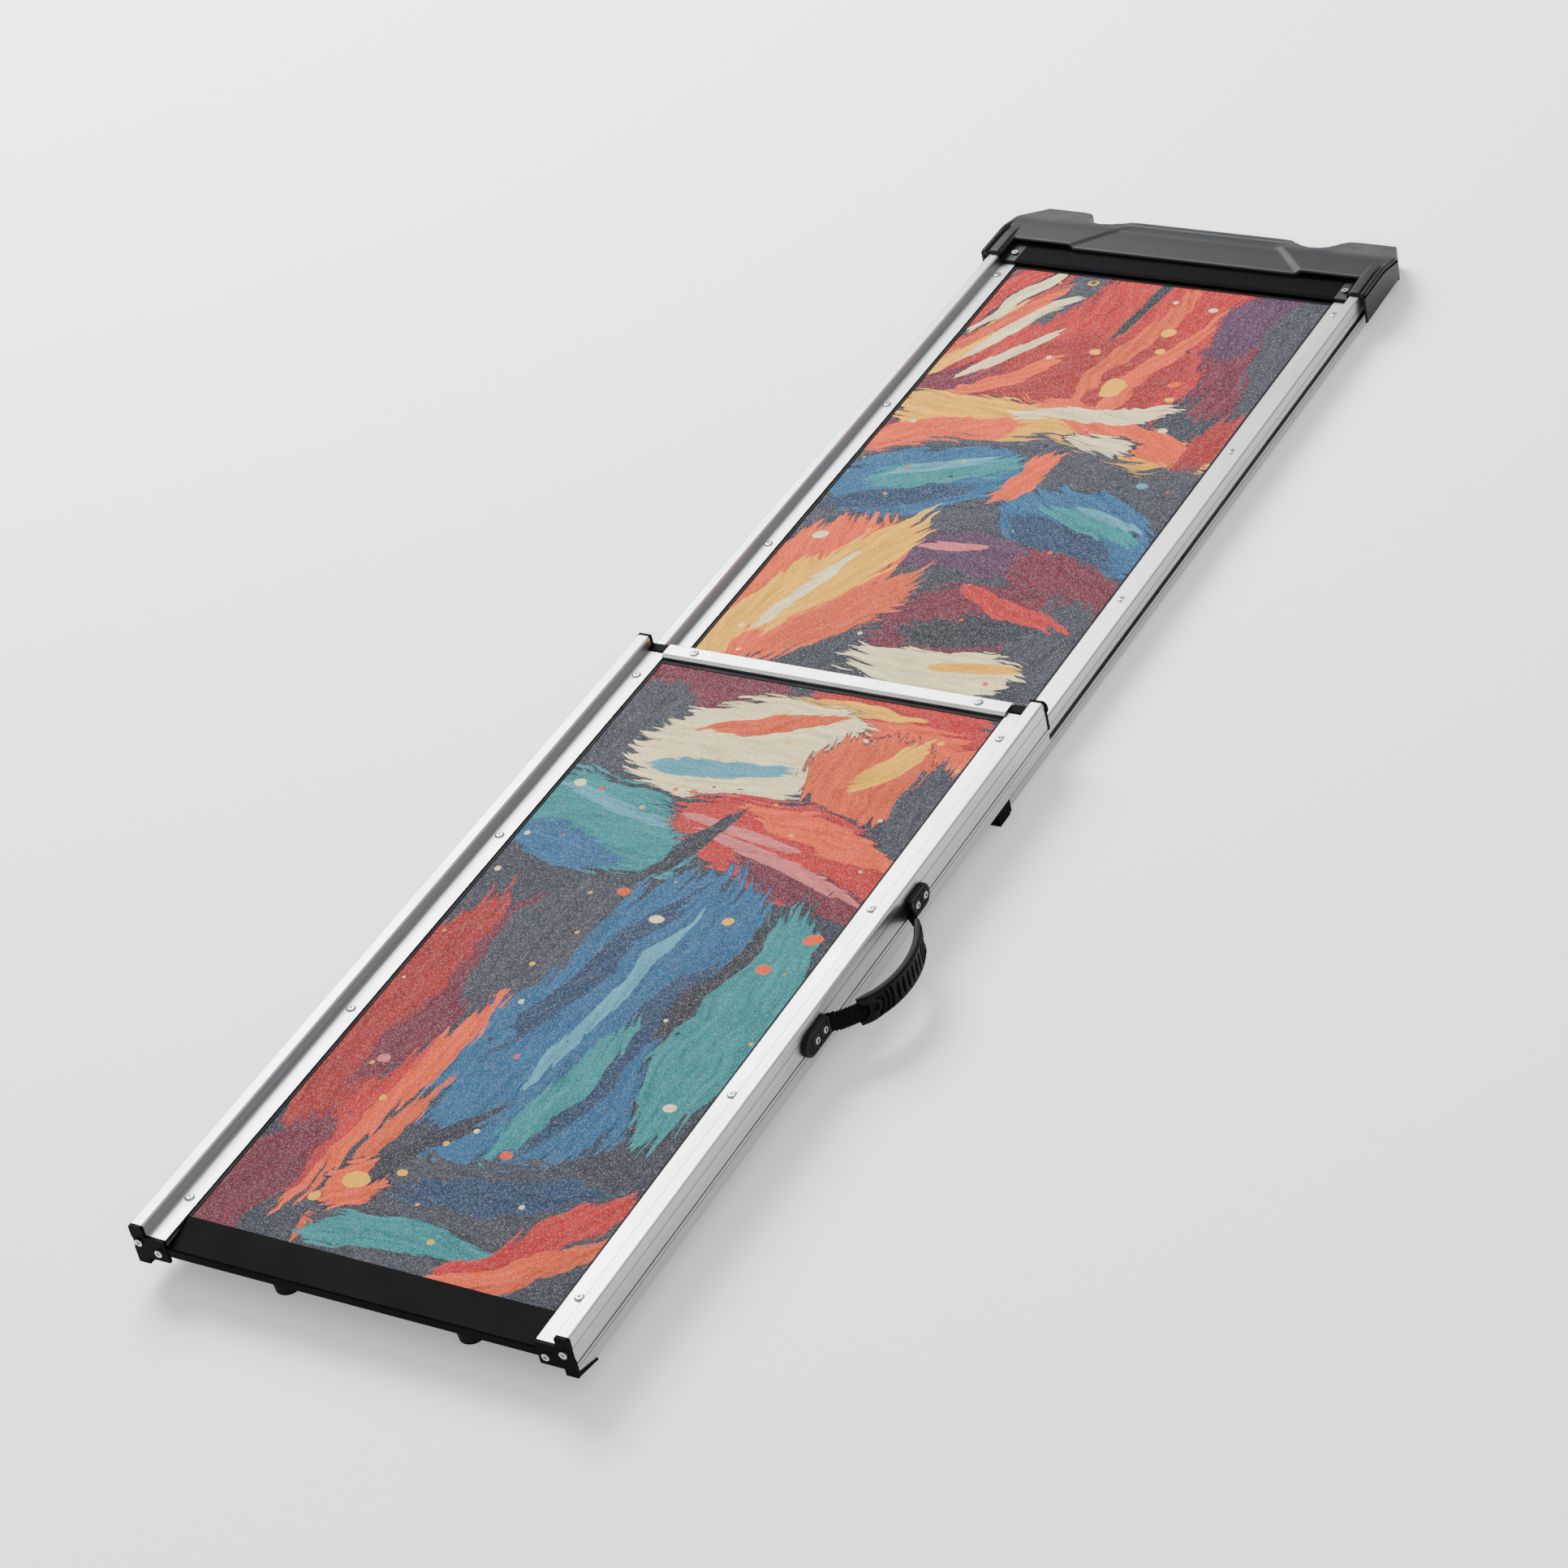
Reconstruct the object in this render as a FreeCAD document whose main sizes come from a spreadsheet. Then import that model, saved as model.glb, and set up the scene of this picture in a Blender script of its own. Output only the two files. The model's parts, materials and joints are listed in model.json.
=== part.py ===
import FreeCAD, Part
import math
import os
import re
import Sketcher
from FreeCAD import Placement, Rotation, Vector

# Two-stage telescoping dog ramp, lying flat and fully extended.
# X runs across the ramp, Y up the ramp from its bottom end, Z up from the surface that it lies on.
# While it is drawn, x = 0 is the centreline and y = 0 the front of the bottom end caps;
# the finished parts are then moved together so that the origin is at the middle of the footprint.

DRIVING_SIZES = {
    # whole ramp
    "opening": 340, "rail_out": 201.5, "flange_top": 47, "drop": 20.2,
    "lower_end": 793, "upper_start": 692, "rail_end": 1540, "cap": 3, "gap": 0.3,
    # nose
    "nose_near": 1472, "nose_face": 1505, "nose_far": 1588, "nose_half": 204.5, "nose_corner": 187,
    "cheek_far": 1550, "slope_start": 1540, "cover_in": 183.8, "cover_clear": 186.2,
    "tab_x": 176.2, "tab_y": 1488.4, "scoop_x": 114.5, "scoop_y": 1574, "scoop_r": 20, "tray_screw_y": 1562,
    "panel_half": 118, "tray_half": 182.8,
    # extruded rails
    "wall": 2, "flange": 2.5, "bead": 10, "bead_in": 188.5, "groove": 1.1,
    "lower_skirt": 31.5, "upper_skirt": 24, "upper_out": 198, "upper_bead": 9.2, "upper_bead_in": 186.5,
    "web": 1.5, "web_in": 174.5, "stop_in": 186, "port_out": 3.2, "port_in": 1.7,
    "hook_in": 192, "slot_in": 190.5, "foot_in": 184, "bevel_end": 26.2, "cap_in": 191,
    "lug_in": 181.8, "lug_out": 186.2,
    # deck
    "board": 5.8, "board_half": 185.7, "board_drop": 2.6, "sheet_gap": 1.2, "sheet_t": 0.8,
    "lower_member_half": 174.2, "upper_member_half": 183.6, "member_w": 25, "member_wall": 1.5,
    # rivets and screws
    "rivet_x": 179.5, "rivet_r": 2.4, "rivet_head_r": 4.3, "rivet_head": 1.5, "rivet_tail_r": 3,
    "bar_rivet_x": 141,
    "screw_r": 1.6, "screw_head_r": 3.4, "screw_head": 2, "port_screw": 14,
    # rubber feet
    "foot_x": 85, "foot_y": 29, "foot_r": 10.5, "foot_top_r": 12.5, "foot_screw_r": 2,
    # handle
    "strap_z": 36.5, "strap_t": 2.4, "strap_w": 20, "grip_w": 27, "grip_t": 7,
    "arc_x": 146.2, "arc_y": 460.5, "arc_r": 91.8, "bracket_t": 5.2, "bracket_r": 10.8,
    "bracket_screw_r": 1.8,
}

LOWER_RIVETS_Y = ["50", "282.5", "515", "747.5"]
UPPER_RIVETS_Y = ["746.3", "982.1", "1218", "1453.9"]
LOWER_MEMBERS_Y = ["166", "398.8", "631"]
BAR_RIVET_Y = {"lower": "lower_end - 7.5", "upper": "upper_start + 11.5"}
SIDES = (("left", -1), ("right", 1))

doc = FreeCAD.newDocument("dog_ramp")
sizes = doc.addObject("Spreadsheet::Sheet", "sizes")
for row, (alias, number) in enumerate(DRIVING_SIZES.items(), start=1):
    sizes.set(f"A{row}", alias)
    sizes.set(f"B{row}", str(number))
    sizes.setAlias(f"B{row}", alias)
doc.recompute()

nodes = []          # the objects that become files, in order


# ---------------------------------------------------------------- helpers

def cell(text):
    """A formula in the sheet's aliases, written the way setExpression reads it."""
    return re.sub(r"[a-z_]{3,}\w*", lambda word: "sizes." + word.group(), str(text))


def value(text):
    """The number that a formula in the sheet's aliases gives."""
    return float(doc.sizes.evalExpression(cell(text)))


def node(shape_object, label):
    """Name a finished object and list it for writing."""
    if shape_object.TypeId == "Part::Box":
        shape_object = group(label + "_plain", [shape_object])
    shape_object.Label = label
    nodes.append(shape_object)
    return shape_object


def block(name, x, y, z):
    """A box between two formulas on each axis."""
    solid = doc.addObject("Part::Box", name)
    for size, axis, (low, high) in (("Length", "x", x), ("Width", "y", y), ("Height", "z", z)):
        solid.setExpression(size, cell(f"({high}) - ({low})"))
        solid.setExpression(f".Placement.Base.{axis}", cell(low))
    return solid


def rod(name, radius, length, at, axis="z"):
    """A cylinder that starts at a point and runs along one axis."""
    solid = doc.addObject("Part::Cylinder", name)
    turns = {"z": Rotation(), "y": Rotation(Vector(1, 0, 0), -90), "x": Rotation(Vector(0, 1, 0), 90)}
    solid.Placement = Placement(Vector(*[value(a) for a in at]), turns[axis])
    solid.setExpression("Radius", cell(radius))
    solid.setExpression("Height", cell(length))
    for letter, start in zip("xyz", at):
        solid.setExpression(f".Placement.Base.{letter}", cell(start))
    return solid


def fuse(name, pieces):
    """One solid from pieces that touch or overlap."""
    union = doc.addObject("Part::MultiFuse", name)
    union.Shapes = pieces
    union.Refine = True
    return union


def cut(name, base, tools):
    """Take several tools away from a base."""
    tool = tools[0] if len(tools) == 1 else fuse(name + "_tools", tools)
    difference = doc.addObject("Part::Cut", name)
    difference.Base = base
    difference.Tool = tool
    difference.Refine = True
    return difference


def group(name, pieces):
    """Several separate solids that share one node."""
    together = doc.addObject("Part::Compound", name)
    together.Links = pieces
    return together


def sketch_on(body, name, plane, offset):
    """A sketch on one of the body's own origin planes, moved along that plane's normal."""
    sketch = body.newObject("Sketcher::SketchObject", name)
    base = next(f for f in body.Origin.OriginFeatures if f.Role == plane)
    sketch.AttachmentSupport = [(base, "")]
    sketch.MapMode = "FlatFace"
    sketch.AttachmentOffset = Placement(Vector(0, 0, value(offset)), Rotation())
    sketch.setExpression(".AttachmentOffset.Base.z", cell(offset))
    return sketch


def draw_outline(sketch, corners):
    """A closed run of straight lines whose corners are formulas."""
    spots = [Vector(value(a), value(b), 0) for a, b in corners]
    first = len(sketch.Geometry)
    count = len(spots)
    for i in range(count):
        sketch.addGeometry(Part.LineSegment(spots[i], spots[(i + 1) % count]), False)
    for i in range(count):
        sketch.addConstraint(Sketcher.Constraint("Coincident", first + i, 2, first + (i + 1) % count, 1))
    for i, corner in enumerate(corners):
        for kind, place, number in zip(("DistanceX", "DistanceY"), corner, (spots[i].x, spots[i].y)):
            rule = sketch.addConstraint(Sketcher.Constraint(kind, -1, 1, first + i, 1, number))
            sketch.setExpression(f"Constraints[{rule}]", cell(place))


def draw_circle(sketch, centre, radius):
    """A circle whose centre and radius are formulas."""
    x, y = (value(c) for c in centre)
    circle = sketch.addGeometry(Part.Circle(Vector(x, y, 0), Vector(0, 0, 1), value(radius)), False)
    for kind, place, number in zip(("DistanceX", "DistanceY"), centre, (x, y)):
        rule = sketch.addConstraint(Sketcher.Constraint(kind, -1, 1, circle, 3, number))
        sketch.setExpression(f"Constraints[{rule}]", cell(place))
    rule = sketch.addConstraint(Sketcher.Constraint("Radius", circle, value(radius)))
    sketch.setExpression(f"Constraints[{rule}]", cell(radius))


def extrude(name, plane, start, length, outlines, circles=()):
    """A body with one padded sketch: the first outline less the others and the circles.

    XZ sketches are padded towards +Y, YZ sketches towards +X and XY sketches towards +Z.
    """
    body = doc.addObject("PartDesign::Body", name)
    towards_minus = plane == "XZ_Plane"
    offset = f"-({start})" if towards_minus else start
    sketch = sketch_on(body, name + "_profile", plane, offset)
    for corners in outlines:
        draw_outline(sketch, corners)
    for centre, radius in circles:
        draw_circle(sketch, centre, radius)
    pad = body.newObject("PartDesign::Pad", name + "_pad")
    pad.Profile = sketch
    pad.Length = value(length)
    pad.setExpression("Length", cell(length))
    pad.Reversed = towards_minus
    sketch.Visibility = False
    doc.recompute()
    return body


def round_edges(body, radius, wanted):
    """Fillet the edges of the body's last feature that a test picks by their middle point."""
    tip = body.Tip
    names = [f"Edge{i}" for i, edge in enumerate(tip.Shape.Edges, start=1)
             if wanted(edge.valueAt((edge.FirstParameter + edge.LastParameter) / 2), edge)]
    fillet = body.newObject("PartDesign::Fillet", body.Name + "_fillet")
    fillet.Base = (tip, names)
    fillet.Radius = radius
    doc.recompute()
    return body


def mirror_x(corners, sign):
    """The same outline on the left (-1) or the right (1) side of the ramp."""
    return [(f"{sign} * ({a})", b) for a, b in corners]


def span(sign, low, high):
    """A stretch of X on one side of the ramp, lowest first."""
    return (f"{sign} * ({low})", f"{sign} * ({high})") if sign > 0 else (f"-({high})", f"-({low})")


# ---------------------------------------------------------------- rails

def lower_rail_profile():
    """Outer rail: rivet flange, raised hollow bead, grooved outer wall and an inward hook below."""
    top = "flange_top"
    outer = [
        ("opening / 2", top), ("bead_in", top), ("bead_in", f"{top} + bead"), ("rail_out", f"{top} + bead"),
        ("rail_out", f"{top} - 0.4"), ("rail_out - groove", f"{top} - 0.7"),
        ("rail_out - groove", f"{top} - 1.3"), ("rail_out - gap", f"{top} - 1.6"),
        ("rail_out - gap", f"{top} - 16"), ("rail_out - groove", f"{top} - 16.3"),
        ("rail_out - groove", f"{top} - 16.9"), ("rail_out", f"{top} - 17.2"),
        ("rail_out", f"{top} - 20"), ("rail_out - groove", f"{top} - 20.3"),
        ("rail_out - groove", f"{top} - 20.9"), ("rail_out - gap", f"{top} - 21.2"),
        ("rail_out - gap", f"{top} - lower_skirt"), ("hook_in", f"{top} - lower_skirt"),
        ("hook_in", f"{top} - lower_skirt + wall"), ("rail_out - wall", f"{top} - lower_skirt + wall"),
        ("rail_out - wall", f"{top} - 10"), ("web_in", f"{top} - 10"), ("web_in", f"{top} - 8.5"),
        ("stop_in", f"{top} - 8.5"), ("stop_in", f"{top} - flange"), ("opening / 2", f"{top} - flange"),
    ]
    hollow = [
        ("bead_in + wall", f"{top} + bead - wall"), ("rail_out - wall", f"{top} + bead - wall"),
        ("rail_out - wall", f"{top} - 8.5"), ("stop_in + web", f"{top} - 8.5"),
        ("stop_in + web", f"{top} - 1.8"), ("bead_in + wall", f"{top} - 1.8"),
    ]
    ports = [("194.5", f"{top} - 5.6"), ("177.5", f"{top} - 12.6")]
    return outer, hollow, ports


def upper_rail_profile():
    """Inner rail: the same flange and bead, a side slot for the outer rail's hook and a box foot below."""
    top = "flange_top - drop"
    outer = [
        ("opening / 2 + 0.4", top), ("upper_bead_in", top), ("upper_bead_in", f"{top} + upper_bead"),
        ("upper_out", f"{top} + upper_bead"), ("upper_out", f"{top} - 0.2"),
        ("upper_out - groove", f"{top} - 0.5"), ("upper_out - groove", f"{top} - 1.1"),
        ("upper_out - gap", f"{top} - 1.4"), ("upper_out - gap", f"{top} - 7.6"),
        ("slot_in", f"{top} - 7.6"), ("slot_in", f"{top} - 13"), ("upper_out", f"{top} - 13"),
        ("upper_out", f"{top} - 15.6"), ("upper_out - groove", f"{top} - 15.9"),
        ("upper_out - groove", f"{top} - 16.5"), ("upper_out - gap", f"{top} - 16.8"),
        ("upper_out - gap", f"{top} - upper_skirt"), ("foot_in", f"{top} - upper_skirt"),
        ("foot_in", f"{top} - 13"), ("188.5", f"{top} - 13"), ("188.5", f"{top} - 10.1"),
        ("web_in", f"{top} - 10.1"), ("web_in", f"{top} - 8.6"), ("stop_in", f"{top} - 8.6"),
        ("stop_in", f"{top} - flange"), ("opening / 2 + 0.4", f"{top} - flange"),
    ]
    hollow = [
        ("upper_bead_in + wall", f"{top} + upper_bead - wall"),
        ("upper_out - wall", f"{top} + upper_bead - wall"), ("upper_out - wall", f"{top} - 5.6"),
        ("stop_in + web", f"{top} - 5.6"), ("stop_in + web", f"{top} - 1.8"),
        ("upper_bead_in + wall", f"{top} - 1.8"),
    ]
    foot = [("186", f"{top} - 15"), ("upper_out - wall", f"{top} - 15"),
            ("upper_out - wall", f"{top} - upper_skirt + wall"), ("186", f"{top} - upper_skirt + wall")]
    ports = [("192.2", f"{top} + 4.4"), ("191", f"{top} - 19")]
    return outer, [hollow, foot], ports


def screw_ports(name, ports, sign, start, length):
    """Round tubes along the rail that the end-cap screws cut their thread in."""
    tubes = []
    for number, (x, z) in enumerate(ports, start=1):
        spot = (f"{sign} * ({x})", z)
        body = doc.addObject("PartDesign::Body", f"{name}_port_{number}")
        sketch = sketch_on(body, f"{name}_port_{number}_ring", "XZ_Plane", f"-({start})")
        draw_circle(sketch, spot, "port_out")
        draw_circle(sketch, spot, "port_in")
        pad = body.newObject("PartDesign::Pad", f"{name}_port_{number}_pad")
        pad.Profile = sketch
        pad.setExpression("Length", cell(length))
        pad.Reversed = True
        tubes.append(body)
    return tubes


def rivet_drills(name, sign, rows, top, x="rivet_x"):
    """Holes down through flange, board and web at each rivet."""
    return [rod(f"{name}_drill_{i}", "rivet_r + 0.05", "14", (f"{sign} * {x}", y, f"{top} - 12"))
            for i, y in enumerate(rows, start=1)]


def bead_edges(inner, outer, height):
    """The long top edges of a bead, which are rounded."""
    def wanted(middle, edge):
        at_side = min(abs(abs(middle.x) - inner), abs(abs(middle.x) - outer)) < 0.01
        return at_side and abs(middle.z - height) < 0.01 and edge.Length > 100
    return wanted


def build_lower_rail(side, sign):
    outer, hollow, ports = lower_rail_profile()
    length = "lower_end - 2 * cap"
    body = extrude(f"lower_rail_{side}_body", "XZ_Plane", "cap", length,
                   [mirror_x(outer, sign), mirror_x(hollow, sign)])
    round_edges(body, 2.4, bead_edges(value("bead_in"), value("rail_out"), value("flange_top + bead")))
    whole = fuse(f"lower_rail_{side}_whole",
                 [body] + screw_ports(f"lower_rail_{side}", ports, sign, "cap", length))
    tools = rivet_drills(f"lower_rail_{side}", sign, LOWER_RIVETS_Y, "flange_top")
    tools.append(extrude(f"lower_rail_{side}_bevel", "YZ_Plane", "-210", "420",
                         [[("-1", "5"), ("-1", "flange_top - 23"), ("bevel_end", "flange_top - lower_skirt"),
                           ("bevel_end", "5")]]))
    tools += [rod(f"lower_rail_{side}_tail_{i}", "rivet_tail_r + 0.15", "6",
                  (f"{sign} * rivet_x", y, "flange_top - 16.02"))
              for i, y in enumerate(LOWER_RIVETS_Y, start=1)]
    if side == "right":
        tools += [rod(f"bracket_drill_{i}", "bracket_screw_r + 0.05", "6",
                      ("rail_out - 4", y, "strap_z + 1"), "x")
                  for i, y in enumerate(BRACKET_SCREWS_Y, start=1)]
    node(cut(f"lower_rail_{side}_cut", whole, tools), f"lower_rail_{side}")


def build_upper_rail(side, sign):
    outer, hollows, ports = upper_rail_profile()
    length = "rail_end - upper_start - cap"
    start = "upper_start + cap"
    body = extrude(f"upper_rail_{side}_body", "XZ_Plane", start, length,
                   [mirror_x(o, sign) for o in [outer] + hollows])
    round_edges(body, 2.2, bead_edges(value("upper_bead_in"), value("upper_out"),
                                      value("flange_top - drop + upper_bead")))
    whole = fuse(f"upper_rail_{side}_whole",
                 [body] + screw_ports(f"upper_rail_{side}", ports, sign, start, length))
    tools = rivet_drills(f"upper_rail_{side}", sign, UPPER_RIVETS_Y, "flange_top - drop")
    tools.append(rod(f"tab_drill_{side}", "1.7", "8", (f"{sign} * tab_x", "tab_y", "flange_top - drop - 7")))
    node(cut(f"upper_rail_{side}_cut", whole, tools), f"upper_rail_{side}")


# ---------------------------------------------------------------- fasteners

def pan_screw(name, at, axis, towards, shank):
    """Pan-head screw with a cross-shaped recess, its head's back face at a point.

    towards is -1 when the head stands on the low side of that point and 1 on the high side.
    """
    index = "xyz".index(axis)
    head_at = list(at)
    shank_at = list(at)
    if towards < 0:
        head_at[index] = f"{at[index]} - screw_head"
    else:
        shank_at[index] = f"{at[index]} - ({shank})"
    head = rod(name + "_head", "screw_head_r", "screw_head", head_at, axis)
    body = rod(name + "_shank", "screw_r", shank, shank_at, axis)
    slots = []
    recess = "screw_head - 0.9" if towards > 0 else "-screw_head"
    for number in range(2):
        low = [f"{c} - 0.45" for c in at]
        high = [f"{c} + 0.45" for c in at]
        wide = [i for i in range(3) if i != index][number]
        low[wide] = f"{at[wide]} - 1.9"
        high[wide] = f"{at[wide]} + 1.9"
        low[index] = f"{at[index]} + {recess}"
        high[index] = f"{at[index]} + {recess} + 0.9"
        slots.append(block(f"{name}_slot_{number}", *zip(low, high)))
    return cut(name, fuse(name + "_solid", [head, body]), slots)


def blind_rivet(name, x, y, top, grip):
    """Domed blind rivet whose set tail closes a grip's length below the head."""
    head = doc.addObject("Part::Cone", name + "_head")
    head.setExpression("Radius1", cell("rivet_head_r"))
    head.setExpression("Radius2", cell("rivet_head_r - 1.7"))
    head.setExpression("Height", cell("rivet_head"))
    for letter, start in zip("xyz", (x, y, top)):
        head.setExpression(f".Placement.Base.{letter}", cell(start))
    shank = rod(name + "_shank", "rivet_r", grip, (x, y, f"{top} - {grip}"))
    tail = rod(name + "_tail", "rivet_tail_r", "1.5", (x, y, f"{top} - {grip} - 1.5"))
    return fuse(name, [head, shank, tail])


def build_deck_rivets():
    for stage, rows, top, grip in (("lower", LOWER_RIVETS_Y, "flange_top", "10.1"),
                                   ("upper", UPPER_RIVETS_Y, "flange_top - drop", "11.8")):
        rivets = [blind_rivet(f"{stage}_rivet_{side}_{i}", f"{sign} * rivet_x", y, top, grip)
                  for side, sign in SIDES for i, y in enumerate(rows, start=1)]
        node(group(f"{stage}_rivet_group", rivets), f"{stage}_deck_rivets")


# ---------------------------------------------------------------- decks

def build_deck(stage, top, board_y, sheet_y, rows, cross_strip):
    """Board in the rail channels, the printed grit sheet on it and the black gasket round it."""
    board = block(f"{stage}_board_block", ("-board_half", "board_half"), board_y,
                  (f"{top} - board_drop - board", f"{top} - board_drop"))
    drills = [d for side, sign in SIDES
              for d in rivet_drills(f"{stage}_board_{side}", sign, rows, top)]
    drills += [d for side, sign in SIDES
               for d in rivet_drills(f"{stage}_board_bar_{side}", sign, [BAR_RIVET_Y[stage]], top,
                                     "bar_rivet_x")]
    node(cut(f"{stage}_board_cut", board, drills), f"{stage}_deck_board")
    sheet_z = (f"{top} - board_drop", f"{top} - board_drop + sheet_t")
    node(block(f"{stage}_grip_block", ("-opening / 2 + 3.2", "opening / 2 - 3.2"), sheet_y, sheet_z),
         f"{stage}_deck_grip_sheet")
    seal_z = (f"{top} - board_drop", f"{top} - sheet_gap")
    strips = [block(f"{stage}_seal_{side}", span(sign, "opening / 2 - 3", "opening / 2 - 0.1"), sheet_y,
                    seal_z) for side, sign in SIDES]
    strips.append(block(f"{stage}_seal_end", ("-opening / 2 + 0.1", "opening / 2 - 0.1"), cross_strip,
                        seal_z))
    node(group(f"{stage}_seal_group", strips), f"{stage}_deck_seal")


def build_cross_members(stage, half, rows, top, height, drilled):
    """Box-section aluminium members under the board; the upper ones hang on the deck rivets."""
    tubes = []
    for i, y in enumerate(rows, start=1):
        name = f"{stage}_member_{i}"
        outside = block(name + "_outside", (f"-{half}", half), (f"{y} - member_w / 2", f"{y} + member_w / 2"),
                        (f"{top} - {height}", top))
        inside = block(name + "_inside", (f"-{half} - 1", f"{half} + 1"),
                       (f"{y} - member_w / 2 + member_wall", f"{y} + member_w / 2 - member_wall"),
                       (f"{top} - {height} + member_wall", f"{top} - member_wall"))
        drills = [rod(f"{name}_drill_{side}", "rivet_r + 0.05", "5", (f"{sign} * rivet_x", y, f"{top} - 2"))
                  for side, sign in SIDES if drilled]
        tubes.append(cut(name, outside, [inside] + drills))
    node(group(f"{stage}_member_group", tubes), f"{stage}_cross_members")


def fasten_bar(label, bar, stage, bar_top, grip):
    """Drill a crossbar and put its two rivets through it and the board."""
    drills = [d for side, sign in SIDES
              for d in rivet_drills(f"{label}_{side}", sign, [BAR_RIVET_Y[stage]], bar_top, "bar_rivet_x")]
    node(cut(f"{label}_cut", bar, drills), label)
    rivets = [blind_rivet(f"{label}_rivet_{side}", f"{sign} * bar_rivet_x", BAR_RIVET_Y[stage],
                          bar_top, grip)
              for side, sign in SIDES]
    node(group(f"{label}_rivet_group", rivets), f"{label}_rivets")


def build_lower_crossbar():
    """Silver bar with rounded shoulders that hooks over the top end of the lower deck."""
    top = "flange_top"
    profile = [("lower_end - 17", f"{top} - 2.55"), ("lower_end - 17", f"{top} + 1.2"),
               ("lower_end - 14", f"{top} + 3.2"), ("lower_end - 1", f"{top} + 3.2"),
               ("lower_end + 2", f"{top} + 1.2"), ("lower_end + 2", f"{top} - 9.6"),
               ("lower_end + 0.2", f"{top} - 9.6"), ("lower_end + 0.2", f"{top} - 2.55")]
    bar = extrude("lower_crossbar_bar", "YZ_Plane", "-opening / 2 + gap", "opening - 2 * gap", [profile])
    fasten_bar("lower_crossbar", bar, "lower", f"{top} + 3.2", "11.8")


def build_upper_end_bars():
    """Flat bar across the tail of the upper deck and the black sill under the nose."""
    top = "flange_top - drop"
    bar = block("tail_bar", ("-opening / 2 + 0.1", "opening / 2 - 0.1"),
                ("upper_start + 4", "upper_start + 19"),
                (f"{top} - 2.55", f"{top} - 0.8"))
    fasten_bar("upper_tail_crossbar", bar, "upper", f"{top} - 0.8", "7.8")
    outer = [("nose_near + 3.2", f"{top} - 2.55"), ("nose_near + 3.2", f"{top} + 2.4"),
             ("nose_near + 6", f"{top} + 4.2"), ("nose_face - 0.5", f"{top} + 4.8"),
             ("nose_face - 0.5", f"{top} - 2.55")]
    hollow = [("nose_near + 5.4", f"{top} - 0.8"), ("nose_near + 5.4", f"{top} + 1.6"),
              ("nose_face - 2.5", f"{top} + 2.8"), ("nose_face - 2.5", f"{top} - 0.8")]
    node(extrude("sill_bar", "YZ_Plane", "-opening / 2 + gap", "opening - 2 * gap", [outer, hollow]),
         "upper_sill_bar")


# ---------------------------------------------------------------- bottom end

def build_bottom_lip():
    """Hollow black lip that slopes from the deck down to the ground edge."""
    top = "flange_top"
    outer = [("0.8", f"{top} - 15.3"), ("0.8", f"{top} - 8.2"), ("2.2", f"{top} - 7.2"),
             ("33.3", f"{top} - 1.4"), ("33.3", f"{top} - 8.6"), ("50", f"{top} - 8.6"),
             ("50", f"{top} - 15.3")]
    hollow = [("3.2", f"{top} - 12.9"), ("3.2", f"{top} - 9.8"), ("30.6", f"{top} - 4.6"),
              ("30.6", f"{top} - 11"), ("47.6", f"{top} - 11"), ("47.6", f"{top} - 12.9")]
    lip = extrude("bottom_lip_bar", "YZ_Plane", "-opening / 2 + gap", "opening - 2 * gap", [outer, hollow])
    drills = [rod(f"lip_foot_drill_{side}", "foot_screw_r + 0.1", "5",
                  (f"{sign} * foot_x", "foot_y", f"{top} - 16"))
              for side, sign in SIDES]
    drills.append(rod("lip_vent", "0.9", "4", ("15.9", "0", f"{top} - 11.4"), "y"))
    node(cut("bottom_lip_cut", lip, drills), "bottom_lip")


def build_ground_feet():
    """Rubber buffers under the lip, level with the feet of the upper rails, and their screws."""
    top = "flange_top - 15.3"
    feet = []
    screws = []
    for side, sign in SIDES:
        name = f"ground_foot_{side}"
        cone = doc.addObject("Part::Cone", name + "_cone")
        cone.setExpression("Radius1", cell("foot_r"))
        cone.setExpression("Radius2", cell("foot_top_r"))
        cone.setExpression("Height", cell(top))
        cone.setExpression(".Placement.Base.x", cell(f"{sign} * foot_x"))
        cone.setExpression(".Placement.Base.y", cell("foot_y"))
        well = rod(name + "_well", "5", "12", (f"{sign} * foot_x", "foot_y", "-1"))
        bore = rod(name + "_bore", "foot_screw_r + 0.1", "40", (f"{sign} * foot_x", "foot_y", "0"))
        feet.append(cut(name, cone, [well, bore]))
        head = rod(name + "_screw_head", "4", "2.5", (f"{sign} * foot_x", "foot_y", "8.5"))
        shank = rod(name + "_screw_shank", "foot_screw_r", f"{top} + 1.5 - 10",
                    (f"{sign} * foot_x", "foot_y", "10"))
        screws.append(fuse(name + "_screw", [head, shank]))
    node(group("ground_foot_group", feet), "ground_feet")
    node(group("ground_foot_screw_group", screws), "ground_foot_screws")


def plate_screws(ports, start, sign, name):
    """Clearance holes through a 3 mm end plate at the rail's screw ports."""
    return [rod(f"{name}_hole_{i}", "screw_r + 0.05", "6", (f"{sign} * ({x})", f"{start} - 1", z), "y")
            for i, (x, z) in enumerate(ports, start=1)]


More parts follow.
